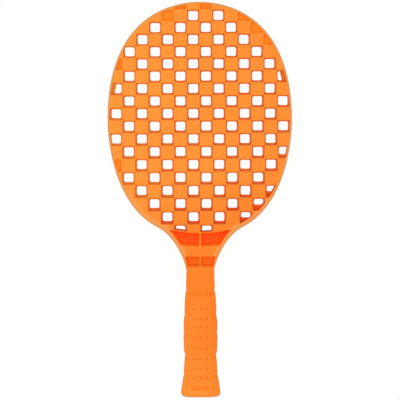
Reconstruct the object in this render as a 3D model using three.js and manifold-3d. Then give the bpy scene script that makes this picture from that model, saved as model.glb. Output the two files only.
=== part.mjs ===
import * as THREE from 'three';
import { mergeVertices } from 'three/addons/utils/BufferGeometryUtils.js';
import Module from 'manifold-3d';

// A beach tennis racket lying face up: +X across the head, +Y from butt to tip, +Z out of the face.
// Sizes are millimetres. A name ending in FromButt is a place along the racket, counted from the butt's end.

// Head outline: a tip, the widest place, the turn into the throat and the top of the neck
const buttToTip = 393.8;
const headWidth = 181.8;
const headThickness = 12;
const widestFromButt = 277.1;
const tipPull = 21.1;
const upperSidePull = 108.3;
const lowerSidePull = 13.3;
const throatTurnWidth = 83.2;
const throatTurnFromButt = 171.5;
const throatTurnInPull = 51.5;
const throatTurnOutPull = 18.3;
const throatSlopeRun = 29.1;
const throatSlopeRise = 14.7;
const neckTopWidth = 27.6;
const neckTopFromButt = 128;
const neckPull = 8;

// Lattice: sockets open at the face, cores open at the back, and a through hole in each socket's floor.
// Rows get slowly taller and columns slowly wider from the tip to the throat. The rim's wall is even down
// to the widest place and grows from there to the oval end.
const rimWall = 2.3;
const lowRimWall = 5;
const firstColumnPitch = 12.39;
const columnPitchGain = 0.0375;
const firstRowFromTip = 13.2;
const firstRowPitch = 11.67;
const rowPitchGain = 0.105;
const ribWall = 1.3;
const skin = 2;
const blindDepth = 3.5;
const holeWidth = 9.35;
const holeHeight = 8.7;
const holeCorner = 1.1;
const smallestPocketShare = 0.25;
const smallestHoleShare = 0.75;

// Holes that the rim cuts short: row and column, the wall left beside them in shares of the rim's wall,
// and the part of their height that is filled in at the low edge. The first one stays blind.
const shortHoleShares = [
  [0, -3, 6, 0], [5, 6, 2.5, 0], [6, -7, 2.4, 0], [11, 6, 1.1, 0.17], [14, 5, 1.5, 0.37],
  [15, 4, 2, 0.35], [16, 3, 1.7, 0.4], [17, -2, 1, 0], [17, 0, 1, 0],
];

// Throat: the oval end of the head, two windows below it in each face and the rib down their middle.
// The wall beside the windows gets thinner from the oval end down.
const ovalEndFromButt = 165.9;
const ovalEndRadius = 129;
const ovalWall = 1.5;
const upperWindowEndFromButt = 153;
const upperWindowEndRadius = 160;
const lowerWindowTopFromButt = 142.4;
const lowerWindowEndFromButt = 132.8;
const windowHighWall = 4.8;
const windowLowWall = 2.1;
const centreRib = 2.2;
const rampTopFromButt = 146;

// Grip outside: grooves all round it, and the widths of the four stretches between them
const gripWidth = 34.2;
const gripThickness = 23.3;
const neckEndWidth = 28.9;
const buttTopWidth = 35;
const buttWidth = 39.6;
const buttRound = 4.5;
const buttFaceRound = 8;
const buttRoundRun = 5.2;
const gripTopFromButt = 108;
const grooveDepth = 1.06;
const grooveHalfSpan = 3.2;
const groovePlaceShares = [1, 0.765, 0.599, 0.4, 0.207];
const grooveDepthShares = [1, 0.62, 0.88, 1, 0.72];
const stretchTopShares = [0.872, 0.968, 1, 0.924];
const stretchMiddleShares = [0.918, 0.989, 0.985, 0.965];
const stretchEndShares = [0.928, 0.989, 0.961, 0.988];
const facetShare = 0.6;
const sideShare = 0.6;
const thicknessGainShare = 0.5;

// Grip dimples, and the shallow band on the butt
const dimpleRadius = 1.2;
const dimpleDepth = 0.8;
const dimpleRowShares = [0.978, 0.838, 0.745, 0.672, 0.573, 0.466, 0.37, 0.281, 0.191];
const dimpleColumnShares = [-0.64, 0, 0.64];
const bandLowFromButt = 8.9;
const bandHighFromButt = 13.3;
const bandDepth = 0.5;
const bandWidthShare = 0.8;

// Tang inside the sleeve, with two keys round it and a boss for the screw
const sleeveWall = 1.6;
const tangWall = 2.3;
const boreEndWall = 3;
const keyHeight = 0.9;
const keyLength = 3;
const keyPlaceShares = [0.44, 0.89];
const bossRadius = 3.9;
const bossLength = 24;

// Cap seat and screw
const clearance = 0.3;
const capFloor = 6;
const screwRadius = 1.75;
const screwLength = 18;
const screwTip = 3;
const screwHeadRadius = 3.8;
const screwHeadHeight = 2.6;
const screwHeadRound = 0.9;
const screwRecessDepth = 3.6;
const driveLength = 4.4;
const driveWidth = 1;
const driveDepth = 1.4;

// How far a cut runs past a face, and how finely round things are faceted
const overrun = 1;
const sideSteps = 22;
const throatSteps = 16;
const roundSides = 16;
const dimpleSides = 6;
const cornerSteps = 3;
const testSteps = 6;

const tipY = buttToTip / 2;
const buttY = -buttToTip / 2;
const midZ = sectionThickness(buttWidth) / 2;
const faceZ = midZ + headThickness / 2;
const backZ = midZ - headThickness / 2;
const grooveFromButt = groovePlaceShares.map((share) => share * gripTopFromButt);

const wasm = await Module();
wasm.setup();

function asSolid(geometry) {
  const bare = geometry.clone();
  bare.deleteAttribute('normal');
  bare.deleteAttribute('uv');
  const merged = mergeVertices(bare);
  return new wasm.Manifold(new wasm.Mesh({
    numProp: 3,
    vertProperties: new Float32Array(merged.attributes.position.array),
    triVerts: new Uint32Array(merged.index.array),
  }));
}

function asGeometry(solid) {
  const mesh = solid.getMesh();
  const geometry = new THREE.BufferGeometry();
  geometry.setAttribute('position', new THREE.BufferAttribute(new Float32Array(mesh.vertProperties), 3));
  geometry.setIndex(new THREE.BufferAttribute(new Uint32Array(mesh.triVerts), 1));
  geometry.computeVertexNormals();
  return geometry;
}

function joined(solids) {
  return solids.reduce((sum, solid) => sum.add(solid));
}

// A block on a plan outline, between two heights
function block(points, low, high) {
  const shape = new THREE.Shape(points);
  const geometry = new THREE.ExtrudeGeometry(shape, { depth: high - low, bevelEnabled: false });
  geometry.translate(0, 0, low);
  return asSolid(geometry);
}

function box(lowX, highX, lowY, highY, lowZ, highZ) {
  const geometry = new THREE.BoxGeometry(highX - lowX, highY - lowY, highZ - lowZ);
  geometry.translate((lowX + highX) / 2, (lowY + highY) / 2, (lowZ + highZ) / 2);
  return asSolid(geometry);
}

// A closed solid through rings of points that all have the same count
function loft(rings) {
  const count = rings[0].length;
  const last = (rings.length - 1) * count;
  const faces = [];
  for (let r = 0; r < rings.length - 1; r++) {
    for (let i = 0; i < count; i++) {
      const a = r * count + i;
      const b = r * count + (i + 1) % count;
      faces.push(a, b, b + count, a, b + count, a + count);
    }
  }
  for (let i = 1; i < count - 1; i++) {
    faces.push(0, i + 1, i);
    faces.push(last, last + i, last + i + 1);
  }
  const geometry = new THREE.BufferGeometry();
  geometry.setAttribute('position', new THREE.Float32BufferAttribute(rings.flat(2), 3));
  geometry.setIndex(faces);
  return asSolid(geometry);
}

// A round bar along the handle's axis
function axisBar(radius, lowFromButt, highFromButt) {
  const geometry = new THREE.CylinderGeometry(radius, radius, highFromButt - lowFromButt, roundSides);
  geometry.translate(0, buttY + (lowFromButt + highFromButt) / 2, midZ);
  return asSolid(geometry);
}

// Eight corners of a section across the handle, in the order that makes a rising stack face outwards
function bevelledRing(y, half, halfThickness, flat, side) {
  const corners = [[half, -side], [flat, -halfThickness], [-flat, -halfThickness], [-half, -side],
    [-half, side], [-flat, halfThickness], [flat, halfThickness], [half, side]];
  return corners.map(([x, z]) => [x, y, midZ + z]);
}

function octagon(fromButt, width, thickness) {
  const half = width / 2;
  const deep = thickness / 2;
  return bevelledRing(buttY + fromButt, half, deep, facetShare * half, sideShare * deep);
}

// The handle gets thicker where it gets wider
function sectionThickness(width) {
  return gripThickness + (width - gripWidth) * thicknessGainShare;
}

// Right half of the plan outline, from the tip down to the neck, as three curves in a row
function outlineCurves() {
  const half = headWidth / 2;
  const widestY = buttY + widestFromButt;
  const tip = new THREE.Vector2(0, tipY);
  const widest = new THREE.Vector2(half, widestY);
  const turn = new THREE.Vector2(throatTurnWidth / 2, buttY + throatTurnFromButt);
  const slope = new THREE.Vector2(-throatSlopeRun, -throatSlopeRise).normalize();
  const neck = new THREE.Vector2(neckTopWidth / 2, buttY + neckTopFromButt);
  return [
    new THREE.CubicBezierCurve(
      tip, new THREE.Vector2(tipPull, tipY), new THREE.Vector2(half, widestY + upperSidePull), widest),
    new THREE.CubicBezierCurve(
      widest, new THREE.Vector2(half, widestY - lowerSidePull),
      turn.clone().addScaledVector(slope, -throatTurnInPull), turn),
    new THREE.CubicBezierCurve(
      turn, turn.clone().addScaledVector(slope, throatTurnOutPull),
      new THREE.Vector2(neck.x, neck.y + neckPull), neck),
  ];
}

// Points of that half outline, moved inwards by the wall at each height
function outlineHalf(wallAt) {
  const points = [];
  const curves = outlineCurves();
  curves.forEach((curve, c) => {
    const steps = c < curves.length - 1 ? sideSteps : throatSteps;
    for (let i = c > 0 ? 1 : 0; i <= steps; i++) {
      const point = curve.getPoint(i / steps);
      const tangent = curve.getTangent(i / steps);
      const inset = wallAt(point.y);
      points.push(new THREE.Vector2(point.x + tangent.y * inset, point.y - tangent.x * inset));
    }
  });
  return points;
}

// Half width of such a line at a height
function halfWidthAt(line, y) {
  const below = line.findIndex((point) => point.y <= y);
  if (below < 1) {
    return below < 0 ? line[line.length - 1].x : 0;
  }
  const low = line[below];
  const high = line[below - 1];
  return low.x + (high.x - low.x) * (y - low.y) / (high.y - low.y);
}

// Wall between the rim's outside and the lattice's pockets at a height
function rimWallAt(y) {
  const share = (buttY + widestFromButt - y) / (widestFromButt - ovalEndFromButt);
  return THREE.MathUtils.lerp(rimWall, lowRimWall, THREE.MathUtils.clamp(share, 0, 1) ** 2);
}

// Wall beside the throat's windows at a height
function windowWallAt(y) {
  const share = (y - buttY - lowerWindowEndFromButt) / (ovalEndFromButt - lowerWindowEndFromButt);
  return THREE.MathUtils.lerp(windowLowWall, windowHighWall, Math.min(share, 1));
}

const rimLine = outlineHalf(() => 0);
const holeLine = outlineHalf(() => rimWall);
const coreLine = outlineHalf(rimWallAt);
const windowLine = outlineHalf(windowWallAt);

// Height of an arc across the racket, lowest on the axis
function arcY(x, fromButt, radius) {
  return buttY + fromButt + radius - Math.sqrt(radius * radius - x * x);
}

function arcPoints(halfSpan, fromButt, radius) {
  const points = [];
  for (let i = 0; i <= throatSteps; i++) {
    const x = halfSpan * (1 - 2 * i / throatSteps);
    points.push(new THREE.Vector2(x, arcY(x, fromButt, radius)));
  }
  return points;
}

// Closed plan of the head inside a line, down to the oval end's arc
function ovalPlan(line, fromButt) {
  const right = line.filter((point) => point.y > arcY(point.x, fromButt, ovalEndRadius));
  const left = right.slice(1).reverse().map((point) => new THREE.Vector2(-point.x, point.y));
  const end = arcPoints(right[right.length - 1].x, fromButt, ovalEndRadius);
  return [...right, ...end.slice(1, -1), ...left];
}

// Cells of the lattice in rows from the tip, each row a little taller and wider than the one above it
function latticeCells() {
  const rowY = (r) => tipY - firstRowFromTip - firstRowPitch * r - rowPitchGain * r * (r - 1) / 2;
  const columns = Math.ceil(headWidth / 2 / firstColumnPitch);
  const cells = [];
  for (let r = -1; rowY(r - 1) > buttY + ovalEndFromButt; r++) {
    const low = (rowY(r) + rowY(r + 1)) / 2 + ribWall / 2;
    const high = (rowY(r - 1) + rowY(r)) / 2 - ribWall / 2;
    const pitch = firstColumnPitch + columnPitchGain * r;
    const half = (pitch - ribWall) / 2;
    for (let k = -columns; k < columns; k++) {
      const x = (k + 1 / 2) * pitch;
      const short = shortHoleShares.find(([row, column]) => row === r && column === k);
      const socket = (k + r) % 2 !== 0;
      cells.push({ x, y: rowY(r), lowX: x - half, highX: x + half, low, high, socket, short });
    }
  }
  return cells;
}

// Share of a rectangle that lies inside a line and above the oval end
function insideShare(line, lowX, highX, lowY, highY) {
  let inside = 0;
  for (let i = 0; i <= testSteps; i++) {
    for (let j = 0; j <= testSteps; j++) {
      const x = lowX + (highX - lowX) * i / testSteps;
      const y = lowY + (highY - lowY) * j / testSteps;
      if (Math.abs(x) < halfWidthAt(line, y) && y > arcY(x, ovalEndFromButt + ovalWall, ovalEndRadius)) {
        inside++;
      }
    }
  }
  return inside / ((testSteps + 1) * (testSteps + 1));
}

// A through hole's plan with its corners cut, and its low edge lifted where the rim cuts it short
function holePlan(cell, liftShare) {
  const w = holeWidth / 2;
  const high = holeHeight / 2;
  const low = liftShare * holeHeight - high;
  const corners = [[w - holeCorner, low], [w, low + holeCorner], [w, high - holeCorner],
    [w - holeCorner, high], [holeCorner - w, high], [-w, high - holeCorner], [-w, low + holeCorner],
    [holeCorner - w, low]];
  return corners.map(([x, y]) => new THREE.Vector2(cell.x + x, cell.y + y));
}

// The hole in a socket's floor, or nothing where the rim leaves too little room for one
function holesIn(cell) {
  if (cell.short) {
    const [wallShare, liftShare] = cell.short.slice(2);
    return [throughHole(holePlan(cell, liftShare), wallShare * rimWall)];
  }
  const w = holeWidth / 2;
  const h = holeHeight / 2;
  const share = insideShare(holeLine, cell.x - w, cell.x + w, cell.y - h, cell.y + h);
  return share > smallestHoleShare ? [throughHole(holePlan(cell, 0), rimWall)] : [];
}

function throughHole(hole, wall) {
  const plan = ovalPlan(outlineHalf(() => wall), ovalEndFromButt + ovalWall);
  const room = block(plan, backZ - overrun, faceZ);
  return block(hole, backZ - 2 * overrun, faceZ + overrun).intersect(room);
}

// Pockets of one cell: a core from the back, a socket down to its pierced floor, or beside the rim, where
// there is no room for a hole, a shallow blind socket with a core behind it
function pocketsOf(cell) {
  const pocket = (low, high) => box(cell.lowX, cell.highX, cell.low, cell.high, low, high);
  if (!cell.socket) {
    return [pocket(backZ - overrun, faceZ - skin)];
  }
  if (cell.holes.length > 0) {
    return [pocket(backZ + skin, faceZ + overrun)];
  }
  const blindFloor = faceZ - blindDepth;
  return [pocket(blindFloor, faceZ + overrun), pocket(backZ - overrun, blindFloor - skin)];
}

// Everything cut out of the head: sockets from the face, cores from the back, and the holes
function latticeCuts() {
  const used = latticeCells().filter(
    (cell) => insideShare(coreLine, cell.lowX, cell.highX, cell.low, cell.high) > smallestPocketShare);
  for (const cell of used) {
    cell.holes = cell.socket ? holesIn(cell).filter((hole) => !hole.isEmpty()) : [];
  }
  const plan = ovalPlan(coreLine, ovalEndFromButt + ovalWall);
  const room = block(plan, backZ - 2 * overrun, faceZ + 2 * overrun);
  return joined(used.flatMap(pocketsOf)).intersect(room).add(joined(used.flatMap((cell) => cell.holes)));
}

// Share of the way down the ramp on which the throat grows from the head's thickness to the neck's
function rampShare(y) {
  return THREE.MathUtils.clamp(
    (buttY + rampTopFromButt - y) / (rampTopFromButt - neckTopFromButt), 0, 1);
}

// Half of the throat's thickness, with the ramp eased into the head's flat faces
function throatDepth(y) {
  const share = rampShare(y);
  const eased = share * share * (2 - share);
  return THREE.MathUtils.lerp(headThickness, sectionThickness(neckEndWidth), eased) / 2;
}

function heightsBetween(lowFromButt, highFromButt) {
  const heights = [];
  for (let i = 0; i <= throatSteps; i++) {
    heights.push(buttY + THREE.MathUtils.lerp(lowFromButt, highFromButt, i / throatSteps));
  }
  return heights;
}

// The throat outside, square to the rim at its top and bevelled like the neck at its foot
function throatSolid() {
  return loft(heightsBetween(neckTopFromButt, rampTopFromButt).map((y) => {
    const half = halfWidthAt(rimLine, y);
    const deep = throatDepth(y);
    const bevel = rampShare(y) * rampShare(y) * rampShare(y);
    const flat = THREE.MathUtils.lerp(half - rimWall / 2, facetShare * half, bevel);
    const side = THREE.MathUtils.lerp(deep - rimWall / 2, sideShare * deep, bevel);
    return bevelledRing(y, half, deep, flat, side);
  }));
}

// The room inside the throat on one face: side walls, and a skin left halfway through
function throatRoom(side) {
  const ramp = heightsBetween(neckTopFromButt, rampTopFromButt);
  const level = heightsBetween(rampTopFromButt, throatTurnFromButt);
  return loft([...ramp, ...level.slice(1)].map((y) => {
    const half = halfWidthAt(windowLine, y);
    const floor = side * skin / 2;
    const mouth = side * (throatDepth(y) + overrun);
    const low = midZ + Math.min(floor, mouth);
    const high = midZ + Math.max(floor, mouth);
    return [[half, y, low], [-half, y, low], [-half, y, high], [half, y, high]];
  }));
}

function middleWeb() {
  return box(-centreRib / 2, centreRib / 2, buttY, tipY, -overrun, 2 * midZ + overrun);
}

// The windows of both faces, beside the middle rib: one between two arcs, one between two straight walls
function windowCuts() {
  const high = arcPoints(throatTurnWidth / 2, ovalEndFromButt, ovalEndRadius);
  const low = arcPoints(throatTurnWidth / 2, upperWindowEndFromButt, upperWindowEndRadius).reverse();
  const upper = block([...high, ...low], 0, 2 * midZ);
  const lower = box(-headWidth, headWidth, buttY + lowerWindowEndFromButt, buttY + lowerWindowTopFromButt,
    0, 2 * midZ);
  return throatRoom(1).add(throatRoom(-1)).intersect(upper.add(lower)).subtract(middleWeb());
}

// Width of the grip at the bottom of a groove, between the stretches above and below it
function grooveWidth(i) {
  const above = i > 0 ? gripWidth * stretchEndShares[i - 1] : neckEndWidth;
  const below = i < stretchTopShares.length ? gripWidth * stretchTopShares[i] : buttTopWidth;
  return (above + below) / 2 - 2 * grooveDepthShares[i] * grooveDepth;
}

const narrowestGroove = Math.min(...grooveFromButt.map((place, i) => grooveWidth(i)));
const tangWidth = narrowestGroove - 2 * (sleeveWall + clearance);
const tangThickness = sectionThickness(narrowestGroove) - 2 * (sleeveWall + clearance);

function gripRing(fromButt, width) {
  return octagon(fromButt, width, sectionThickness(width));
}

// Places and widths along the sleeve's outside, from its lowest groove to its highest
function sleeveStations() {
  const stations = [];
  for (let i = stretchTopShares.length - 1; i >= 0; i--) {
    const low = grooveFromButt[i + 1];
    const high = grooveFromButt[i];
    stations.push([low, grooveWidth(i + 1)]);
    stations.push([low + grooveHalfSpan, gripWidth * stretchEndShares[i]]);
    stations.push([(low + high) / 2, gripWidth * stretchMiddleShares[i]]);
    stations.push([high - grooveHalfSpan, gripWidth * stretchTopShares[i]]);
  }
  stations.push([grooveFromButt[0], grooveWidth(0)]);
  stations[0][0] += clearance / 2;
  stations[stations.length - 1][0] -= clearance / 2;
  return stations;
}

// Places and widths along the butt cap's outside, from above its rounded end to the groove under the sleeve
function capStations() {
  const lowest = grooveFromButt[grooveFromButt.length - 1];
  return [
    [buttRoundRun, buttWidth],
    [lowest - grooveHalfSpan, buttTopWidth],
    [lowest - clearance / 2, grooveWidth(grooveFromButt.length - 1)],
  ];
}

// The rounded end, which falls away further at the front and back than at the sides
function buttEndRings() {
  const rings = [];
  for (let i = 0; i < cornerSteps; i++) {
    const turn = i / cornerSteps * Math.PI / 2;
    const inset = 1 - Math.sin(turn);
    rings.push(octagon(buttRoundRun * (1 - Math.cos(turn)), buttWidth - 2 * buttRound * inset,
      sectionThickness(buttWidth) - 2 * buttFaceRound * inset));
  }
  return rings;
}

function widthAlong(stations, fromButt) {
  const above = stations.findIndex(([place]) => place >= fromButt);
  const [lowPlace, lowWidth] = stations[above - 1];
  const [highPlace, highWidth] = stations[above];
  return lowWidth + (highWidth - lowWidth) * (fromButt - lowPlace) / (highPlace - lowPlace);
}

// Dimples on the front and back facets, for the rows that lie on one piece
function dimpleCuts(stations) {
  const first = stations[0][0];
  const last = stations[stations.length - 1][0];
  const cuts = [];
  const rows = dimpleRowShares.map((share) => share * gripTopFromButt);
  for (const row of rows.filter((place) => place > first && place < last)) {
    const width = widthAlong(stations, row);
    for (const share of dimpleColumnShares) {
      for (const side of [-1, 1]) {
        const pit = new THREE.CylinderGeometry(
          dimpleRadius, dimpleRadius / 2, 2 * dimpleDepth, dimpleSides);
        pit.rotateX(side * Math.PI / 2);
        pit.translate(
          share * facetShare * width / 2, buttY + row, midZ + side * sectionThickness(width) / 2);
        cuts.push(asSolid(pit));
      }
    }
  }
  return joined(cuts);
}

// Rings along the tang, or along the room for it when a gap is given
function tangRings(low, high, gap) {
  const width = tangWidth + 2 * gap;
  const thickness = tangThickness + 2 * gap;
  const rings = [octagon(low, width, thickness)];
  const foot = keyLength / 2 + keyHeight + gap;
  const crest = keyLength / 2 + gap;
  for (const key of keyPlaceShares.map((share) => share * gripTopFromButt)) {
    rings.push(octagon(key - foot, width, thickness));
    rings.push(octagon(key - crest, width + 2 * keyHeight, thickness + 2 * keyHeight));
    rings.push(octagon(key + crest, width + 2 * keyHeight, thickness + 2 * keyHeight));
    rings.push(octagon(key + foot, width, thickness));
  }
  rings.push(octagon(high, width, thickness));
  return rings;
}

// The tang's two long chambers, either side of the web and of the screw's boss
function tangBore() {
  const width = tangWidth - 2 * tangWall;
  const thickness = tangThickness - 2 * tangWall;
  const low = capFloor - overrun;
  const high = lowerWindowEndFromButt - boreEndWall;
  const boss = axisBar(bossRadius, low - overrun, capFloor + clearance + bossLength);
  return loft([octagon(low, width, thickness), octagon(high, width, thickness)])
    .subtract(middleWeb().add(boss));
}

function screwHole(low) {
  return axisBar(screwRadius + clearance, low, screwRecessDepth + screwLength + clearance);
}

function racketBody() {
  const cut = buttY + rampTopFromButt;
  const right = rimLine.filter((point) => point.y > cut);
  right.push(new THREE.Vector2(halfWidthAt(rimLine, cut), cut));
  const left = right.slice(1).reverse().map((point) => new THREE.Vector2(-point.x, point.y));
  const head = block([...right, ...left], backZ, faceZ);
  const thickness = sectionThickness(neckEndWidth);
  const top = grooveFromButt[0];
  const neck = loft([
    gripRing(top + clearance / 2, grooveWidth(0)),
    octagon(top + grooveHalfSpan, neckEndWidth, thickness),
    octagon(neckTopFromButt, neckTopWidth, thickness),
  ]);
  const tang = loft(tangRings(capFloor + clearance, top + overrun, 0));
  return head.add(throatSolid()).add(neck).add(tang)
    .subtract(latticeCuts())
    .subtract(windowCuts())
    .subtract(tangBore())
    .subtract(screwHole(capFloor - overrun));
}

function gripSleeve() {
  const stations = sleeveStations();
  const outside = loft(stations.map(([place, width]) => gripRing(place, width)));
  const lowest = grooveFromButt[grooveFromButt.length - 1];
  const room = loft(tangRings(lowest - overrun, grooveFromButt[0] + overrun, clearance));
  return outside.subtract(room).subtract(dimpleCuts(stations));
}

// The shallow band across the butt's front and back facets
function bandCut(stations, side) {
  const ring = (place) => {
    const width = widthAlong(stations, place);
    const facet = sectionThickness(width) / 2;
    const half = bandWidthShare * facetShare * width / 2;
    const z = [facet - bandDepth, facet + overrun].map((height) => side * height);
    const [low, high] = side > 0 ? z : z.reverse();
    const y = buttY + place;
    return [[half, y, midZ + low], [-half, y, midZ + low], [-half, y, midZ + high], [half, y, midZ + high]];
  };
  return loft([ring(bandLowFromButt), ring(bandHighFromButt)]);
}

function buttCap() {
  const stations = capStations();
  const outside = loft([...buttEndRings(), ...stations.map(([place, width]) => gripRing(place, width))]);
  const seat = grooveFromButt[grooveFromButt.length - 1] + overrun;
  const room = loft([
    octagon(capFloor, tangWidth + 2 * clearance, tangThickness + 2 * clearance),
    octagon(seat, tangWidth + 2 * clearance, tangThickness + 2 * clearance),
  ]);
  return outside.subtract(room)
    .subtract(axisBar(screwHeadRadius + clearance, -overrun, screwRecessDepth))
    .subtract(screwHole(0))
    .subtract(dimpleCuts(stations))
    .subtract(bandCut(stations, 1))
    .subtract(bandCut(stations, -1));
}

// A pan head screw, point up the handle, with a cross recess in its head
function capScrew() {
  const seat = screwRecessDepth - clearance;
  const crown = seat - screwHeadHeight;
  const end = seat + screwLength;
  const profile = [
    [0, crown], [screwHeadRadius - screwHeadRound, crown], [screwHeadRadius, crown + screwHeadRound],
    [screwHeadRadius, seat], [screwRadius, seat], [screwRadius, end - screwTip], [0, end],
  ];
  const turned = new THREE.LatheGeometry(profile.map(([r, h]) => new THREE.Vector2(r, h)), roundSides);
  turned.translate(0, buttY, midZ);
  const long = driveLength / 2;
  const wide = driveWidth / 2;
  const low = buttY + crown - overrun;
  const high = buttY + crown + driveDepth;
  const across = box(-long, long, low, high, midZ - wide, midZ + wide);
  const upright = box(-wide, wide, low, high, midZ - long, midZ + long);
  return asSolid(turned).subtract(across).subtract(upright);
}

const moulded = new THREE.MeshStandardMaterial({ color: 0xfc9339, roughness: 0.5, metalness: 0 });
const softGrip = new THREE.MeshStandardMaterial({ color: 0xfd872f, roughness: 0.7, metalness: 0 });
const capPlastic = new THREE.MeshStandardMaterial({ color: 0xfe8c34, roughness: 0.5, metalness: 0 });
const plated = new THREE.MeshStandardMaterial({ color: 0xb9bcc0, roughness: 0.35, metalness: 1 });

const racket = new THREE.Group();
const pieces = [
  ['racket_body', racketBody(), moulded],
  ['grip_sleeve', gripSleeve(), softGrip],
  ['butt_cap', buttCap(), capPlastic],
  ['cap_screw', capScrew(), plated],
];
for (const [name, solid, material] of pieces) {
  const mesh = new THREE.Mesh(asGeometry(solid), material);
  mesh.name = name;
  racket.add(mesh);
}

export default racket;
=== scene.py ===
import math
import bpy
import bmesh
from mathutils import Matrix, Vector


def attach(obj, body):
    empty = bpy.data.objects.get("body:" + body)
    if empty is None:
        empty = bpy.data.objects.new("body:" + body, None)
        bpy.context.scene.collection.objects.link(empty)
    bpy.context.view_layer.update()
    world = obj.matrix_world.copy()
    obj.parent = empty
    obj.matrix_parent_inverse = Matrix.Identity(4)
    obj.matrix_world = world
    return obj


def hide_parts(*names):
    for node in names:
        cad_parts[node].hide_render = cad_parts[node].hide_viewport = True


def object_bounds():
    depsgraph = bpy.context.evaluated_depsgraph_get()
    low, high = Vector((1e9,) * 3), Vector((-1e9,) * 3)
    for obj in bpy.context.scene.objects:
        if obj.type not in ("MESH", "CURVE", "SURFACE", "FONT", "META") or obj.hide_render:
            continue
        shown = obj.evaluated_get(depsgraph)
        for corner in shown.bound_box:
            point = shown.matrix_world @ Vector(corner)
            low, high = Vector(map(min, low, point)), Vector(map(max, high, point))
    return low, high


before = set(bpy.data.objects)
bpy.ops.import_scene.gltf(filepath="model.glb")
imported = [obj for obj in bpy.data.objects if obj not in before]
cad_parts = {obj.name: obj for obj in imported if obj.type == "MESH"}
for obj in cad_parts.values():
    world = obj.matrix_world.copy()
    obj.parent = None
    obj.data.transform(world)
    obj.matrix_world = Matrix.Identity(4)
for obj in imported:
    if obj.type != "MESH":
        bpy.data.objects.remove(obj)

# A beach tennis racket lying face up: +X across the head, +Y from butt to tip, +Z out of the face.
# Everything is in metres. A name ending in FromButt is a place along the racket, counted from its butt end.
mm = 0.001
cadBox = [list(corner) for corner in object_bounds()]
buttY = cadBox[0][1]
tipY = cadBox[1][1]
midZ = (cadBox[0][2] + cadBox[1][2]) / 2
print("frame loaded, length", round(tipY - buttY, 4))

# camera

cameraView = {
    "aimX": -0.05 * mm, "aimY": 2.22 * mm, "aimAboveMiddle": 6 * mm,
    "distance": 1500 * mm, "tiltDegrees": 6, "rollDegrees": -0.21, "lens": 136.35,
}


def placeCamera():
    tilt = math.radians(cameraView["tiltDegrees"])
    roll = math.radians(cameraView["rollDegrees"])
    back = Vector((0, math.sin(tilt), math.cos(tilt)))
    upright = Vector((0, math.cos(tilt), -math.sin(tilt)))
    across = Vector((1, 0, 0))
    right = across * math.cos(roll) + upright * math.sin(roll)
    up = upright * math.cos(roll) - across * math.sin(roll)
    aim = Vector((cameraView["aimX"], cameraView["aimY"], midZ + cameraView["aimAboveMiddle"]))
    data = bpy.data.cameras.new("camera")
    data.lens = cameraView["lens"]
    camera = bpy.data.objects.new("camera", data)
    camera.matrix_world = (Matrix.Translation(aim + back * cameraView["distance"])
                           @ Matrix((right, up, back)).transposed().to_4x4())
    bpy.context.scene.collection.objects.link(camera)
    bpy.context.scene.camera = camera


placeCamera()
print("camera placed")

# small tools for meshes and node trees


def meshObject(name, points, faces, material=None):
    # a new object at the origin, with its faces turned outwards
    mesh = bpy.data.meshes.new(name)
    if material:
        mesh.materials.append(material)
    mesh.from_pydata([tuple(p) for p in points], [], faces)
    shell = bmesh.new()
    shell.from_mesh(mesh)
    bmesh.ops.recalc_face_normals(shell, faces=shell.faces)
    shell.to_mesh(mesh)
    shell.free()
    made = bpy.data.objects.new(name, mesh)
    bpy.context.scene.collection.objects.link(made)
    return made


def loft(rings, ringsClosed=False):
    # points and quads of a stack of rings, with flat ends unless it comes back round to its first ring
    count, size = len(rings), len(rings[0])
    faces = []
    for r in range(count if ringsClosed else count - 1):
        low, high = r * size, (r + 1) % count * size
        for i in range(size):
            j = (i + 1) % size
            faces.append((low + i, low + j, high + j, high + i))
    if not ringsClosed:
        faces += [tuple(range(size)), tuple(range((count - 1) * size, count * size))]
    return [p for ring in rings for p in ring], faces


def shellsObject(name, shells, material=None):
    # one object from several shells, each given as its points and faces
    points, faces = [], []
    for shellPoints, shellFaces in shells:
        faces += [tuple(i + len(points) for i in face) for face in shellFaces]
        points += shellPoints
    return meshObject(name, points, faces, material)


def loftObject(name, *stacks, ringsClosed=False, material=None):
    return shellsObject(name, [loft(rings, ringsClosed) for rings in stacks], material)


def setPointValues(made, columns):
    # named values for each point, which a node tree reads
    for name, (kind, _) in columns.items():
        made.data.attributes.new(name, kind, "POINT")
    for name, (kind, values) in columns.items():
        key = "vector" if kind == "FLOAT_VECTOR" else "value"
        for entry, value in zip(made.data.attributes[name].data, values):
            setattr(entry, key, value)
    return made


def lathe(profile, steps):
    # rings round the handle's axis, from pairs of radius and place from the butt
    turns = [2 * math.pi * i / steps for i in range(steps)]
    return [[Vector((radius * math.cos(a), buttY + place, midZ + radius * math.sin(a))) for a in turns]
            for radius, place in profile]


def addNode(tree, kind, feeds=None, **settings):
    node = tree.nodes.new(kind)
    for name, value in settings.items():
        setattr(node, name, value)
    for key, value in (feeds or {}).items():
        for item in value if isinstance(value, list) else [value]:
            if isinstance(item, bpy.types.NodeSocket):
                tree.links.new(item, node.inputs[key])
            else:
                node.inputs[key].default_value = item
    return node


def firstOf(tree, kind, feeds=None, **settings):
    # adds a node and gives its first output
    return addNode(tree, kind, feeds, **settings).outputs[0]


def calculate(tree, operation, first, second):
    return firstOf(tree, "ShaderNodeMath", {0: first, 1: second}, operation=operation)


def plus(tree, first, second):
    return calculate(tree, "ADD", first, second)


def minus(tree, first, second):
    return calculate(tree, "SUBTRACT", first, second)


def times(tree, first, second):
    return calculate(tree, "MULTIPLY", first, second)


def ratio(tree, first, second):
    return calculate(tree, "DIVIDE", first, second)


def mapRange(tree, value, fromRange, toRange, **settings):
    return firstOf(tree, "ShaderNodeMapRange", {
        "Value": value, "From Min": fromRange[0], "From Max": fromRange[1],
        "To Min": toRange[0], "To Max": toRange[1]}, **settings)


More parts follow.
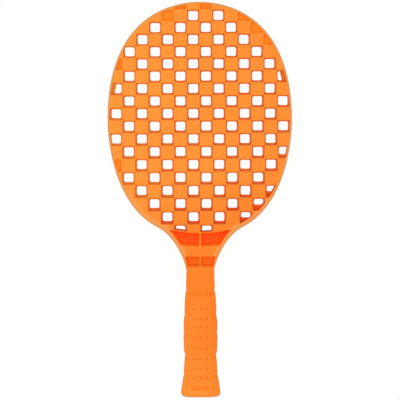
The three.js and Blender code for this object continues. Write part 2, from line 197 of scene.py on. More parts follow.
def newTree(name, values):
    # a geometry node tree with an input for its geometry and one for each named value, of the value's kind
    kinds = {float: "Float", tuple: "Vector", bpy.types.Object: "Object", bpy.types.Material: "Material"}
    tree = bpy.data.node_groups.new(name, "GeometryNodeTree")
    for way in ("OUTPUT", "INPUT"):
        tree.interface.new_socket("Geometry", in_out=way, socket_type="NodeSocketGeometry")
    for label, value in values.items():
        tree.interface.new_socket(label, in_out="INPUT", socket_type="NodeSocket" + kinds[type(value)])
    return tree, tree.nodes.new("NodeGroupInput").outputs


def endTree(tree, geometry):
    result = tree.nodes.new("NodeGroupOutput")
    tree.links.new(geometry, result.inputs["Geometry"])
    return tree


def shapeOf(tree, source):
    return addNode(tree, "GeometryNodeObjectInfo", {"Object": source}).outputs["Geometry"]


def pointValue(tree, name, kind):
    return firstOf(tree, "GeometryNodeInputNamedAttribute", {"Name": name}, data_type=kind)


def pointsWhere(tree, name, wanted, comparison="EQUAL"):
    # picks the points whose whole number of that name compares with the wanted one, by sockets 2 and 3
    return firstOf(tree, "FunctionNodeCompare", {2: pointValue(tree, name, "INT"), 3: wanted},
                   data_type="INT", operation=comparison)


def atPoints(tree, points, picked, shape, **more):
    # one real copy of a shape on each picked point
    made = firstOf(tree, "GeometryNodeInstanceOnPoints", dict(
        {"Points": points, "Selection": picked, "Instance": shape}, **more))
    return firstOf(tree, "GeometryNodeRealizeInstances", {"Geometry": made})


def moved(tree, shape, height, turn=(0.0, 0.0, 0.0)):
    # a shape moved up by a height, and turned
    up = firstOf(tree, "ShaderNodeCombineXYZ", {"Z": height})
    return firstOf(tree, "GeometryNodeTransform", {"Geometry": shape, "Translation": up, "Rotation": turn})


def boolean(tree, operation, first, others, solver="MANIFOLD"):
    # first is what a difference is cut from; a union or an overlap may be of the others alone
    feeds = {"Mesh 2": others}
    if first is not None:
        feeds["Mesh 1"] = first
    return firstOf(tree, "GeometryNodeMeshBoolean", feeds, operation=operation, solver=solver)


def bakePiece(name, start, grow, values):
    # grows a tree, runs it on an object and keeps the result as a plain mesh; the tree has an input for each
    # value and ends with real instances and the piece's plain material, and the helper objects are removed
    tree, give = newTree(name + " tree", values)
    real = firstOf(tree, "GeometryNodeRealizeInstances", {"Geometry": grow(tree, give)})
    coloured = firstOf(tree, "GeometryNodeSetMaterial", {"Geometry": real, "Material": give["material"]})
    modifier = start.modifiers.new("nodes", "NODES")
    modifier.node_group = endTree(tree, coloured)
    for item in tree.interface.items_tree:
        if item.item_type == "SOCKET" and item.in_out == "INPUT" and item.name in values:
            modifier[item.identifier] = values[item.name]
    start.update_tag()
    bpy.context.view_layer.update()
    depsgraph = bpy.context.evaluated_depsgraph_get()
    mesh = bpy.data.meshes.new_from_object(start.evaluated_get(depsgraph), depsgraph=depsgraph)
    mesh.name = name
    made = bpy.data.objects.new(name, mesh)
    bpy.context.scene.collection.objects.link(made)
    start.modifiers.clear()
    for helper in [start] + [value for value in values.values() if isinstance(value, bpy.types.Object)]:
        bpy.data.objects.remove(helper)
    return made


meshLimits = {"mergeWithin": 0.002 * mm, "smallestEdge": 0.001 * mm, "flatFrom": 0.99999}


def finishShading(piece, sharpDegrees):
    # smooth faces with hard edges where the surface turns, and where a large flat face ends
    mesh = piece.data
    shell = bmesh.new()
    shell.from_mesh(mesh)
    bmesh.ops.remove_doubles(shell, verts=shell.verts, dist=meshLimits["mergeWithin"])
    bmesh.ops.dissolve_degenerate(shell, edges=shell.edges, dist=meshLimits["smallestEdge"])
    for face in shell.faces:
        face.smooth = True
    for edge in shell.edges:
        if len(edge.link_faces) == 2:
            flats = [abs(face.normal.z) > meshLimits["flatFrom"] for face in edge.link_faces]
            edge.smooth = (edge.calc_face_angle(0) < math.radians(sharpDegrees)
                           and flats[0] == flats[1])
    shell.to_mesh(mesh)
    shell.free()
    mesh.validate()


# materials


def srgb(red, green, blue):
    # 0 to 255 as on a screen, to the linear colour that a shader takes
    def channel(value):
        value /= 255
        return value / 12.92 if value <= 0.04045 else ((value + 0.055) / 1.055) ** 2.4
    return channel(red), channel(green), channel(blue), 1


def newMaterial(name):
    material = bpy.data.materials.new(name)
    material.use_nodes = True
    tree = material.node_tree
    shader = tree.nodes["Principled BSDF"]
    place = tree.nodes.new("ShaderNodeTexCoord").outputs["Object"]
    return material, tree, shader, place


# what all the plastics share: how much the two noises change the tone, the way and range over which the
# head's painted light, lighter towards the tip and the left, fades into the handle's tone, the heights
# between which a socket's mouth begins and takes its painted shade, and the detail and roughness of each
# noise
moulding = {
    "driftShare": 0.5, "mottleShare": 0.3, "meanBlend": 0.4, "paintedLightWay": (-0.2, 1.0, 0.0),
    "paintedLightRange": (-32 * mm, 25 * mm), "mouthShadeRange": (midZ + 4.6 * mm, midZ + 5.4 * mm),
    "mottleRange": (0.3, 0.7), "glossChange": 0.05, "bumpHeight": 0.1 * mm,
    "driftDetail": (3.0, 0.55), "mottleDetail": (2.0, 0.5), "grainDetail": (3.0, 0.6),
}


def noise(tree, place, scale, detail, roughness):
    return firstOf(tree, "ShaderNodeTexNoise", {
        "Vector": place, "Scale": scale, "Detail": detail, "Roughness": roughness})


def placeAlong(tree, place, way):
    # how far a place lies along a way
    return addNode(tree, "ShaderNodeVectorMath", {0: place, 1: way}, operation="DOT_PRODUCT").outputs["Value"]


def mouldedPlastic(name, look):
    # soft colour drift over a fine satin grain, with painted light as a slow change of tone along, across and
    # up the racket and a lighter head, and painted shade at a socket's mouth
    material, tree, shader, place = newMaterial(name)
    drift, mottle, grain = [noise(tree, place, look[name + "Scale"], *moulding[name + "Detail"])
                            for name in ("drift", "mottle", "grain")]
    tone = look["tone"] - moulding["meanBlend"]
    height = addNode(tree, "ShaderNodeSeparateXYZ", {"Vector": place}).outputs["Z"]
    # the mottle is the plastic's own; the lean and the head's rise are painted light, and the mouth's fall is
    # painted shade
    changes = [
        times(tree, mottle, moulding["mottleShare"]),
        placeAlong(tree, place, look["paintedLightLean"]),
        mapRange(tree, placeAlong(tree, place, moulding["paintedLightWay"]), moulding["paintedLightRange"],
                 (tone, tone + look["paintedHeadLight"]), interpolation_type="SMOOTHSTEP"),
        mapRange(tree, height, moulding["mouthShadeRange"], (0.0, look["mouthShadeTone"])),
    ]
    total = times(tree, drift, moulding["driftShare"])
    for change in changes:
        total = plus(tree, total, change)
    colour = addNode(tree, "ShaderNodeValToRGB", {"Fac": total})
    stops = colour.color_ramp.elements
    stops[0].color = srgb(*look["deepColour"])
    stops[1].color = srgb(*look["lightColour"])
    if look["mouthShadeTone"]:
        stops[0].color = srgb(*look["mouthShadeColour"])
        stops.new(look["deepShare"]).color = srgb(*look["deepColour"])
    tree.links.new(colour.outputs["Color"], shader.inputs["Base Color"])
    gloss = mapRange(tree, mottle, moulding["mottleRange"], (
        look["roughness"] - moulding["glossChange"], look["roughness"] + moulding["glossChange"]))
    tree.links.new(gloss, shader.inputs["Roughness"])
    bump = firstOf(tree, "ShaderNodeBump", {
        "Height": grain, "Strength": look["grainStrength"], "Distance": moulding["bumpHeight"]})
    tree.links.new(bump, shader.inputs["Normal"])
    shader.inputs["Specular IOR Level"].default_value = look["specular"]
    return material


# deepColour is the tone at 0 and lightColour at 1: tone is the handle's, the head's value is the painted
# light that the head adds, the lean is painted light and shade, the change for each metre across, along and
# up, and the mouth's value is the painted shade at a socket's mouth, where the tone 0 is the mouth's colour
# and deepColour moves up to deepShare
# the face: its own orange, with a lean of painted light that makes it lighter towards the left
plasticLook = {
    "driftScale": 26.0, "mottleScale": 210.0, "grainScale": 1900.0, "grainStrength": 0.25,
    "roughness": 0.5, "specular": 0.12, "lightColour": (251, 150, 49), "deepColour": (251, 123, 24),
    "tone": 0.2, "paintedHeadLight": 0.5, "paintedLightLean": (-2.2, 0.0, 0.0), "mouthShadeTone": 0.0,
}
# the sockets: a lit and shaded copy of the face plastic, lighter and redder down inside as painted light
# where the depth is shaded, and darker at the mouth as painted shade
socketLightAndShadeLook = dict(plasticLook, lightColour=(255, 176, 72), deepColour=(255, 104, 14), deepShare=0.3,
                  mouthShadeColour=(226, 108, 34), roughness=0.52, tone=0.32, mouthShadeTone=-0.75)
# the blind sockets: a slightly lighter copy of the face plastic without its lean, painted light against the
# shade in these shallow pockets
blindLightLook = dict(plasticLook, lightColour=(252, 150, 36), deepColour=(251, 130, 20), specular=0.06,
                 paintedLightLean=(0.0, 0.0, 0.0))
# the throat's windows: red orange painted shade, darker the deeper it lies, with painted light towards the
# butt and the left
recessShadeLook = dict(plasticLook, lightColour=(250, 132, 26), deepColour=(251, 80, 12), specular=0.05,
                  roughness=0.55, tone=-2.43, paintedHeadLight=0.0, paintedLightLean=(-3.0, -25.6, 110.0))
# the grip and the cap: their own orange, with a lean of painted light that makes them lighter towards the
# left and the butt
gripLook = dict(plasticLook, driftScale=60.0, mottleScale=320.0, grainStrength=0.45, roughness=0.6,
                lightColour=(252, 143, 46), deepColour=(251, 116, 20), tone=0.25, paintedHeadLight=0.0,
                paintedLightLean=(-9.0, -2.6, 0.0))
capLook = dict(gripLook, lightColour=(252, 148, 49), driftScale=70.0, grainStrength=0.25, roughness=0.5,
               tone=-1.96, paintedLightLean=(-6.0, -14.2, 0.0))
# the dimples: a darker copy of the grip plastic, painted shade inside them
dimpleShadeLook = dict(gripLook, lightColour=(248, 134, 34), deepColour=(238, 118, 20))
bandLook = dict(capLook, lightColour=(250, 134, 24), deepColour=(246, 120, 12))

facePlastic = mouldedPlastic("orange plastic, face", plasticLook)
socketLightAndShadePlastic = mouldedPlastic("orange plastic, sockets, painted light and shade", socketLightAndShadeLook)
recessShadePlastic = mouldedPlastic("orange plastic, throat recess, painted shade", recessShadeLook)
blindLightPlastic = mouldedPlastic("orange plastic, blind sockets, painted light", blindLightLook)
gripRubber = mouldedPlastic("orange grip rubber", gripLook)
capPlastic = mouldedPlastic("orange plastic, butt cap", capLook)
dimpleShadePlastic = mouldedPlastic("orange plastic, dimples, painted shade", dimpleShadeLook)
bandPlastic = mouldedPlastic("orange plastic, band", bandLook)

screwLook = {
    "lightColour": (188, 190, 194), "deepColour": (166, 168, 172), "glossRange": (0.22, 0.4),
    "brushScale": 900.0, "brushStretch": (1.0, 0.08, 1.0), "brushDetail": (4.0, 0.5),
}


def platedSteel(name):
    material, tree, shader, place = newMaterial(name)
    stretch = firstOf(tree, "ShaderNodeMapping", {"Vector": place, "Scale": screwLook["brushStretch"]})
    brush = noise(tree, stretch, screwLook["brushScale"], *screwLook["brushDetail"])
    tone = addNode(tree, "ShaderNodeValToRGB", {"Fac": brush})
    tone.color_ramp.elements[0].color = srgb(*screwLook["deepColour"])
    tone.color_ramp.elements[1].color = srgb(*screwLook["lightColour"])
    tree.links.new(tone.outputs["Color"], shader.inputs["Base Color"])
    gloss = mapRange(tree, brush, (0.0, 1.0), screwLook["glossRange"])
    tree.links.new(gloss, shader.inputs["Roughness"])
    shader.inputs["Metallic"].default_value = 1.0
    return material


screwSteel = platedSteel("zinc plated steel")
print("materials made")

# plan outline of the head and throat

outline = {
    "headWidth": cadBox[1][0] - cadBox[0][0], "headThickness": 12 * mm, "widestFromButt": 277.1 * mm,
    "tipPull": 21.1 * mm, "upperSidePull": 108.3 * mm, "lowerSidePull": 13.3 * mm,
    "throatTurnWidth": 83.2 * mm, "throatTurnFromButt": 171.5 * mm, "throatTurnInPull": 51.5 * mm,
    "throatTurnOutPull": 18.3 * mm, "throatSlope": (-29.1, -14.7), "neckPull": 8 * mm,
    "neckTopWidth": 27.6 * mm, "neckTopFromButt": 128 * mm, "rimWall": 2.3 * mm, "lowRimWall": 5 * mm,
    "steps": 40,
}
faceZ = midZ + outline["headThickness"] / 2
backZ = midZ - outline["headThickness"] / 2


def bezier(points, steps):
    # points of a cubic curve, each with its direction
    a, b, c, d = [Vector(p) for p in points]
    made = []
    for i in range(steps + 1):
        t = i / steps
        s = 1 - t
        place = a * s ** 3 + b * 3 * s * s * t + c * 3 * s * t * t + d * t ** 3
        along = (b - a) * s * s + (c - b) * 2 * s * t + (d - c) * t * t
        made.append((place, along.normalized()))
    return made


def outlineSamples():
    # right half from the tip to the top of the neck
    half = outline["headWidth"] / 2
    widestY = buttY + outline["widestFromButt"]
    turn = Vector((outline["throatTurnWidth"] / 2, buttY + outline["throatTurnFromButt"]))
    slope = Vector(outline["throatSlope"]).normalized()
    neck = Vector((outline["neckTopWidth"] / 2, buttY + outline["neckTopFromButt"]))
    curves = [
        [(0, tipY), (outline["tipPull"], tipY), (half, widestY + outline["upperSidePull"]), (half, widestY)],
        [(half, widestY), (half, widestY - outline["lowerSidePull"]),
         turn - slope * outline["throatTurnInPull"], turn],
        [turn, turn + slope * outline["throatTurnOutPull"], (neck.x, neck.y + outline["neckPull"]), neck],
    ]
    samples = bezier(curves[0], outline["steps"])
    for curve in curves[1:]:
        samples += bezier(curve, outline["steps"])[1:]
    return samples


# painted shade along the front's edge and a band of painted sheen inside it: their colours, shares and the
# distances over which they rise and fall
rimShadeAndSheen = {
    "edgeColour": (226, 148, 74), "edgeShare": 0.85, "edgeRun": (1.2 * mm, 3 * mm),
    "paleColour": (249, 156, 80), "paleShare": 0.8, "paleRise": (0.8 * mm, 2 * mm),
    "paleFall": (4 * mm, 6 * mm), "paleTop": (195 * mm, 215 * mm), "neckRise": (132 * mm, 150 * mm),
    "frontRise": (faceZ - 2.6 * mm, faceZ - 1 * mm), "sampleStep": 5,
}


def followSamples(tree, share, values):
    # a smooth curve through pairs of a share of the way and a value, both from 0 to 1
    node = addNode(tree, "ShaderNodeFloatCurve", {"Value": share})
    points = node.mapping.curves[0].points
    for at, value in values[1:-1]:
        points.new(at, value)
    points[0].location = values[0]
    points[-1].location = values[-1]
    for point in points:
        point.handle_type = "AUTO_CLAMPED"
    node.mapping.update()
    return node.outputs["Value"]


def paintRimShadeAndSheen(material):
    # the front's edge is darkened by painted shade, and a pale band of painted sheen runs inside it round the
    # lower head and throat
    tree = material.node_tree
    colour = tree.nodes["Principled BSDF"].inputs["Base Color"]
    place = tree.nodes["Texture Coordinate"].outputs["Object"]
    x, y, z = addNode(tree, "ShaderNodeSeparateXYZ", {"Vector": place}).outputs
    low = buttY + outline["neckTopFromButt"]
    half = outline["headWidth"] / 2
    samples = outlineSamples()[::-rimShadeAndSheen["sampleStep"]]
    rise, fall = (0.0, 1.0), (1.0, 0.0)
    share = mapRange(tree, y, (low, tipY), rise)
    shares = [(p.y - low) / (tipY - low) for p, _ in samples]
    wide = followSamples(tree, share, [(at, p.x / half) for at, (p, _) in zip(shares, samples)])
    steep = followSamples(tree, share, [(at, abs(way.y)) for at, (_, way) in zip(shares, samples)])
    across = calculate(tree, "ABSOLUTE", x, 0.0)
    inwards = times(tree, minus(tree, times(tree, wide, half), across), steep)
    fromButt = minus(tree, y, buttY)
    front = times(tree, mapRange(tree, z, rimShadeAndSheen["frontRise"], rise),
                  mapRange(tree, fromButt, rimShadeAndSheen["neckRise"], rise))
    pale = times(tree, mapRange(tree, inwards, rimShadeAndSheen["paleRise"], rise),
                 mapRange(tree, inwards, rimShadeAndSheen["paleFall"], fall))
    pale = times(tree, pale, mapRange(tree, fromButt, rimShadeAndSheen["paleTop"], fall))
    edge = mapRange(tree, inwards, rimShadeAndSheen["edgeRun"], fall)
    mixed = colour.links[0].from_socket
    # sockets 6 and 7 are the mix node's two colours, and its output 2 is their mix
    # the pale band is painted sheen, and the edge is painted shade
    for band, name in ((pale, "pale"), (edge, "edge")):
        amount = times(tree, times(tree, band, rimShadeAndSheen[name + "Share"]), front)
        mixed = addNode(tree, "ShaderNodeMix", {0: amount, 6: mixed, 7: srgb(*rimShadeAndSheen[name + "Colour"])},
                        data_type="RGBA").outputs[2]
    tree.links.new(mixed, colour)


paintRimShadeAndSheen(facePlastic)


def insetLine(wallAt):
    # the half outline moved inwards by the wall at each height
    line = []
    for p, along in outlineSamples():
        inset = wallAt(p.y)
        line.append(Vector((p.x + along.y * inset, p.y - along.x * inset)))
    return line


def halfWidthAt(line, y):
    # half width of a line at a height, straight between its points
    if y >= line[0].y:
        return 0
    for high, low in zip(line, line[1:]):
        if low.y <= y:
            return low.x + (high.x - low.x) * (y - low.y) / (high.y - low.y)
    return line[-1].x


# throat windows and the ramp that they lie in

throat = {
    "ovalEndFromButt": 165.9 * mm, "ovalEndRadius": 129 * mm, "ovalWall": 1.5 * mm,
    "upperEndFromButt": 153 * mm, "upperEndRadius": 160 * mm,
    "lowerTopFromButt": 142.4 * mm, "lowerEndFromButt": 132.8 * mm,
    "windowHighWall": 4.8 * mm, "windowLowWall": 2.1 * mm,
    "middleRib": 2.2 * mm, "skin": 2 * mm, "rampTopFromButt": 146 * mm,
    "lip": 0.35 * mm, "draft": 0.4 * mm, "upperSlopes": (1.6 * mm, 2.4 * mm),
    "lowerSlopes": (1 * mm, 0.6 * mm), "over": 1 * mm, "steps": 12, "rounds": 6,
    "ovalSteps": 24,
}


def rimWallAt(y):
    # the wall round the lattice: even down to the widest place, then growing to the oval end
    run = outline["widestFromButt"] - throat["ovalEndFromButt"]
    share = min(max((buttY + outline["widestFromButt"] - y) / run, 0), 1)
    return outline["rimWall"] + (outline["lowRimWall"] - outline["rimWall"]) * share ** 2


def windowWallAt(y):
    # the wall beside the throat's windows, which gets thinner from the oval end down
    run = throat["ovalEndFromButt"] - throat["lowerEndFromButt"]
    share = min((y - buttY - throat["lowerEndFromButt"]) / run, 1)
    return throat["windowLowWall"] + (throat["windowHighWall"] - throat["windowLowWall"]) * share


holeLine = insetLine(lambda y: outline["rimWall"])
coreLine = insetLine(rimWallAt)

grip = {
    "width": 34.2 * mm, "thickness": 23.3 * mm, "neckEndWidth": 28.9 * mm, "buttTopWidth": 35 * mm,
    "topFromButt": 108 * mm, "grooveDepth": 1.06 * mm, "grooveHalfSpan": 3.2 * mm,
    "groovePlaceShares": [1, 0.765, 0.599, 0.4, 0.207], "grooveDepthShares": [1, 0.62, 0.88, 1, 0.72],
    "stretchTopShares": [0.872, 0.968, 1, 0.924], "stretchMiddleShares": [0.918, 0.989, 0.985, 0.965],
    "stretchEndShares": [0.928, 0.989, 0.961, 0.988], "facetShare": 0.6, "sideShare": 0.6,
    "corner": 4 * mm, "clearance": 0.3 * mm, "seam": 0.08 * mm, "roomCorner": 0.3 * mm,
    "ringStep": 0.4 * mm, "plainEvery": 5, "sharpDegrees": 32,
}


lastGroove = len(grip["groovePlaceShares"]) - 1


def arcY(x, fromButt, radius):
    return buttY + fromButt + radius - math.sqrt(radius * radius - x * x)


def ovalFloorY(x):
    # where the lattice ends, one wall above the windows
    return arcY(x, throat["ovalEndFromButt"] + throat["ovalWall"], throat["ovalEndRadius"])


def sectionThickness(width):
    return grip["thickness"] + (width - grip["width"]) / 2


def grooveWidth(i):
    above = grip["width"] * grip["stretchEndShares"][i - 1] if i > 0 else grip["neckEndWidth"]
    below = grip["width"] * grip["stretchTopShares"][i] if i < lastGroove else grip["buttTopWidth"]
    return (above + below) / 2 - 2 * grip["grooveDepthShares"][i] * grip["grooveDepth"]


def rampShare(y):
    # 0 at the head's thickness, 1 at the neck's
    run = throat["rampTopFromButt"] - outline["neckTopFromButt"]
    return min(max((buttY + throat["rampTopFromButt"] - y) / run, 0), 1)


def bodyDepth(y):
    # half thickness of the moulding at a height, eased into the head at the ramp's top
    share = rampShare(y)
    eased = share * share * (2 - share) if share < 1 else 1
    neck = sectionThickness(grip["neckEndWidth"]) / 2
    return outline["headThickness"] / 2 + (neck - outline["headThickness"] / 2) * eased


def windowShell(side, up, topAt, lowAt, slopes):
    # one window's cutter: a grid for its floor, one above the surface, and walls with a flared lip between
    # them; slopes are how far the walls lean in towards the floor at the two ends and at the outer side
    steps, lip, over = throat["steps"], throat["lip"], throat["over"]
    row = steps + 1

    def grid(spread, heightAt, endSlope=0, sideSlope=0):
        # x and y depend on each other, so both are worked out in a few rounds
        wall = insetLine(lambda y: windowWallAt(y) - spread)
        points = []
        for j in range(row):
            for i in range(row):
                y = (topAt(0) + lowAt(0)) / 2
                for _ in range(throat["rounds"]):
                    x = throat["middleRib"] / 2 - spread
                    x += (halfWidthAt(wall, y) - sideSlope - x) * i / steps
                    low = lowAt(x) - spread + endSlope
                    y = low + (topAt(x) + spread - endSlope - low) * j / steps
                points.append(Vector((side * x, y, midZ + up * heightAt(y))))
        return points

    places = (grid(-throat["draft"], lambda y: throat["skin"] / 2, *slopes)
              + grid(0, lambda y: bodyDepth(y) - lip)
              + grid(lip + over, lambda y: bodyDepth(y) + over))
    edge = (list(range(row)) + [j * row + steps for j in range(1, row)]
            + [steps * row + i for i in range(steps - 1, -1, -1)]
            + [j * row for j in range(steps - 1, 0, -1)])
    faces = []
    for g in (0, 2):
        for j in range(steps):
            for i in range(steps):
                a = g * row * row + j * row + i
                faces.append((a, a + 1, a + 1 + row, a + row))
    for g in (0, 1):
        for a, b in zip(edge, edge[1:] + edge[:1]):
            low, high = g * row * row, (g + 1) * row * row
            faces.append((low + a, low + b, high + b, high + a))
    used = sorted({i for face in faces for i in face})
    number = {old: new for new, old in enumerate(used)}
    return [places[i] for i in used], [tuple(number[i] for i in face) for face in faces]


def windowEnd(fromButt, radius=None):
    # one end of a window, straight or an arc, as a height for each x
    if radius is None:
        return lambda x: buttY + fromButt
    return lambda x: arcY(x, fromButt, radius)


def windowShells():
    windows = (
        (windowEnd(throat["ovalEndFromButt"], throat["ovalEndRadius"]),
         windowEnd(throat["upperEndFromButt"], throat["upperEndRadius"]), throat["upperSlopes"]),
        (windowEnd(throat["lowerTopFromButt"]), windowEnd(throat["lowerEndFromButt"]), throat["lowerSlopes"]),
    )
    return [windowShell(side, up, *window)
            for up in (1, -1) for side in (-1, 1) for window in windows]


# lattice of the head

lattice = {
    "firstColumnPitch": 12.39 * mm, "columnPitchGain": 0.0375 * mm, "firstRowFromTip": 13.2 * mm,
    "firstRowPitch": 11.67 * mm, "rowPitchGain": 0.105 * mm, "rib": 1.3 * mm, "skin": 2 * mm,
    "blindDepth": 3.5 * mm, "pocketCorner": 1 * mm,
    "holeWidth": 9.35 * mm, "holeHeight": 8.7 * mm, "holeCorner": 1.6 * mm,
    "lip": 0.55 * mm, "draft": 0.08 * mm, "over": 0.3 * mm,
    "smallestPocketShare": 0.25, "smallestHoleShare": 0.75, "testSteps": 6, "sharpestCorner": 0.4,
    "plugCornerSteps": 4,
    # row and column of each further blind socket
    "blindCells": [(0, -3)],
    # row, column, wall beside the hole in rim walls, part of its height filled in
    "shortHoleShares": [
        (5, 6, 2.5, 0), (6, -7, 2.4, 0), (11, 6, 1.1, 0.17), (14, 5, 1.5, 0.37),
        (15, 4, 2, 0.35), (16, 3, 1.7, 0.4), (17, -2, 1, 0), (17, 0, 1, 0)],
}


def rowY(r):
    return (tipY - lattice["firstRowFromTip"] - lattice["firstRowPitch"] * r
            - lattice["rowPitchGain"] * r * (r - 1) / 2)


def insideShare(line, x, y, width, height):
    # share of a rectangle that lies inside a line and above the oval end
    steps = lattice["testSteps"]
    inside = 0
    for i in range(steps + 1):
        for j in range(steps + 1):
            u = x + width * (i / steps - 0.5)
            v = y + height * (j / steps - 0.5)
            inside += abs(u) < halfWidthAt(line, v) and v > ovalFloorY(u)
    return inside / (steps + 1) ** 2


def latticeCells():
    # every used cell with its place, size and kind: 0 core, 1 blind, 2 with a hole cut short, 3 with a hole
    cells = []
    short = {entry[:2]: entry[2:] for entry in lattice["shortHoleShares"]}
    columns = math.ceil(outline["headWidth"] / 2 / lattice["firstColumnPitch"])
    r = -1
    while rowY(r - 1) > buttY + throat["ovalEndFromButt"]:
        height = (rowY(r - 1) - rowY(r + 1)) / 2 - lattice["rib"]
        pitch = lattice["firstColumnPitch"] + lattice["columnPitchGain"] * r
        width = pitch - lattice["rib"]
        for k in range(-columns, columns):
            x = (k + 0.5) * pitch
            if insideShare(coreLine, x, rowY(r), width, height) <= lattice["smallestPocketShare"]:
                continue
            kind = 0
            if (k + r) % 2:
                holed = insideShare(holeLine, x, rowY(r), lattice["holeWidth"], lattice["holeHeight"])
                kind = 3 if holed > lattice["smallestHoleShare"] else 1
                if (r, k) in short:
                    kind = 2
                if (r, k) in lattice["blindCells"]:
                    kind = 1
            cells.append({"x": x, "y": rowY(r), "width": width, "height": height, "kind": kind,
                          "short": short.get((r, k))})
        r += 1
    return cells


def cellPoints(cells):
    # one vertex for each cell, which the node tree reads
    made = meshObject("cellPoints", [(c["x"], c["y"], 0) for c in cells], [])
    return setPointValues(made, {"cellWidth": ("FLOAT", [c["width"] for c in cells]),
                                 "cellHeight": ("FLOAT", [c["height"] for c in cells]),
                                 "cellKind": ("INT", [c["kind"] for c in cells])})


def roundedRectangle(x, y, width, low, high, corner, steps=5):
    points = []
    for cx, cy, start in ((x + width / 2, low, -90), (x + width / 2, high, 0),
                          (x - width / 2, high, 90), (x - width / 2, low, 180)):
        inX = corner if cx < x else -corner
        inY = corner if cy == low else -corner
        for i in range(steps + 1):
            turn = math.radians(start + 90 * i / steps)
            points.append(Vector((cx + inX + corner * math.cos(turn),
                                  cy + inY + corner * math.sin(turn))))
    return points


def keepInside(points, onLine, inwards):
    # the part of a polygon on the inner side of a straight line
    kept = []
    for a, b in zip(points, points[1:] + points[:1]):
        da = (a - onLine).dot(inwards)
        db = (b - onLine).dot(inwards)
        if da >= 0:
            kept.append(a)
        if (da >= 0) != (db >= 0):
            kept.append(a + (b - a) * da / (da - db))
    return kept


def shortHoles(cells):
    # cutters for the holes that the rim cuts short: a straight edge beside the rim, a filled low end
    lofts = []
    for cell in [c for c in cells if c["short"]]:
        wallShare, lift = cell["short"]
        high = cell["y"] + lattice["holeHeight"] / 2
        low = high - lattice["holeHeight"] * (1 - lift)
        plan = roundedRectangle(cell["x"], (low + high) / 2, lattice["holeWidth"], low, high,
                                lattice["holeCorner"])
        side = math.copysign(1, cell["x"])
        nearest = min(outlineSamples(), key=lambda s: (Vector((side * s[0].x, s[0].y))
                                                       - Vector((cell["x"], cell["y"]))).length)
        inwards = Vector((side * nearest[1].y, -nearest[1].x))
        wall = Vector((side * nearest[0].x, nearest[0].y)) + inwards * outline["rimWall"] * wallShare
        plan = keepInside(plan, wall, inwards)
        floor = Vector((cell["x"], ovalFloorY(cell["x"])))
        plan = keepInside(plan, floor, Vector((-cell["x"] / throat["ovalEndRadius"], 1)).normalized())
        if len(plan) > 2:
            lofts.append([[Vector((p.x, p.y, z)) for p in plan]
                          for z in (backZ - 2 * lattice["over"], faceZ + 2 * lattice["over"])])
    return loftObject("shortHoles", *lofts)


def spreadPlan(plan, spread):
    # a closed plan moved outwards, corner by corner
    made = []
    for i, point in enumerate(plan):
        before = (point - plan[i - 1]).normalized()
        after = (plan[(i + 1) % len(plan)] - point).normalized()
        outwards = (Vector((before.y, -before.x)) + Vector((after.y, -after.x))).normalized()
        reach = max(outwards.dot(Vector((after.y, -after.x))), lattice["sharpestCorner"])
        made.append(point + outwards * spread / reach)
    return made


def ovalRoom():
    # the space inside the rim's wall, flared at both faces so that the rim gets the same small lip
    right = [p for p in coreLine if p.y > ovalFloorY(p.x)]
    steps = throat["ovalSteps"]
    end = []
    for i in range(1, steps):
        x = right[-1].x * (1 - 2 * i / steps)
        end.append(Vector((x, ovalFloorY(x))))
    plan = [Vector((-p.x, p.y)) for p in right[1:]] + end[::-1] + right[::-1]
    lip, over = lattice["lip"], lattice["over"]
    levels = [(backZ - 2 * over, lip + 2 * over), (backZ + lip, 0), (faceZ - lip, 0),
              (faceZ + 2 * over, lip + 2 * over)]
    rings = [[Vector((p.x, p.y, z)) for p in spreadPlan(plan, spread)] for z, spread in levels]
    return loftObject("ovalRoom", rings)


plugSizes = ("width", "height", "corner", "depth", "draft", "flare")


def plugGroup():
    # a rounded rectangular plug that widens a little towards its mouth and flares there
    tree, give = newTree("plug", dict.fromkeys(plugSizes, 0.0))

    def raised(mesh, picked, height, scale):
        # extrudes the picked face upwards and widens its new end; returns the mesh and that end
        feeds = {"Mesh": mesh, "Offset": (0.0, 0.0, 1.0), "Offset Scale": height, "Individual": False}
        if picked is not None:
            feeds["Selection"] = picked
        rise = addNode(tree, "GeometryNodeExtrudeMesh", feeds, mode="FACES")
        top = rise.outputs["Top"]
        return firstOf(tree, "GeometryNodeScaleElements", {
            "Geometry": rise.outputs["Mesh"], "Selection": top, "Scale": scale}, domain="FACE"), top

    twoDrafts = times(tree, give["draft"], 2.0)
    narrow = minus(tree, give["width"], twoDrafts)
    wide = plus(tree, give["width"], times(tree, give["flare"], 2.0))
    plan = firstOf(tree, "GeometryNodeCurvePrimitiveQuadrilateral", {
        "Width": narrow, "Height": minus(tree, give["height"], twoDrafts)})
    corners = firstOf(tree, "GeometryNodeFilletCurve", {
        "Curve": plan, "Count": lattice["plugCornerSteps"], "Radius": give["corner"], "Limit Radius": True},
        mode="POLY")
    floor = firstOf(tree, "GeometryNodeFillCurve", {"Curve": corners}, mode="NGONS")
    under = firstOf(tree, "GeometryNodeFlipFaces", {"Mesh": floor})
    wall, top = raised(floor, None, give["depth"], ratio(tree, give["width"], narrow))
    mouth, _ = raised(wall, top, give["flare"], ratio(tree, wide, give["width"]))
    whole = firstOf(tree, "GeometryNodeJoinGeometry", {"Geometry": [mouth, under]})
    return endTree(tree, firstOf(tree, "GeometryNodeMergeByDistance", {
        "Geometry": whole, "Distance": meshLimits["smallestEdge"]}))


plug = plugGroup()


def plugNode(tree, *sizes):
    # a plug of the given width, height, corner, depth, draft and flare
    return firstOf(tree, "GeometryNodeGroup", dict(zip(plugSizes, sizes)), node_tree=plug)


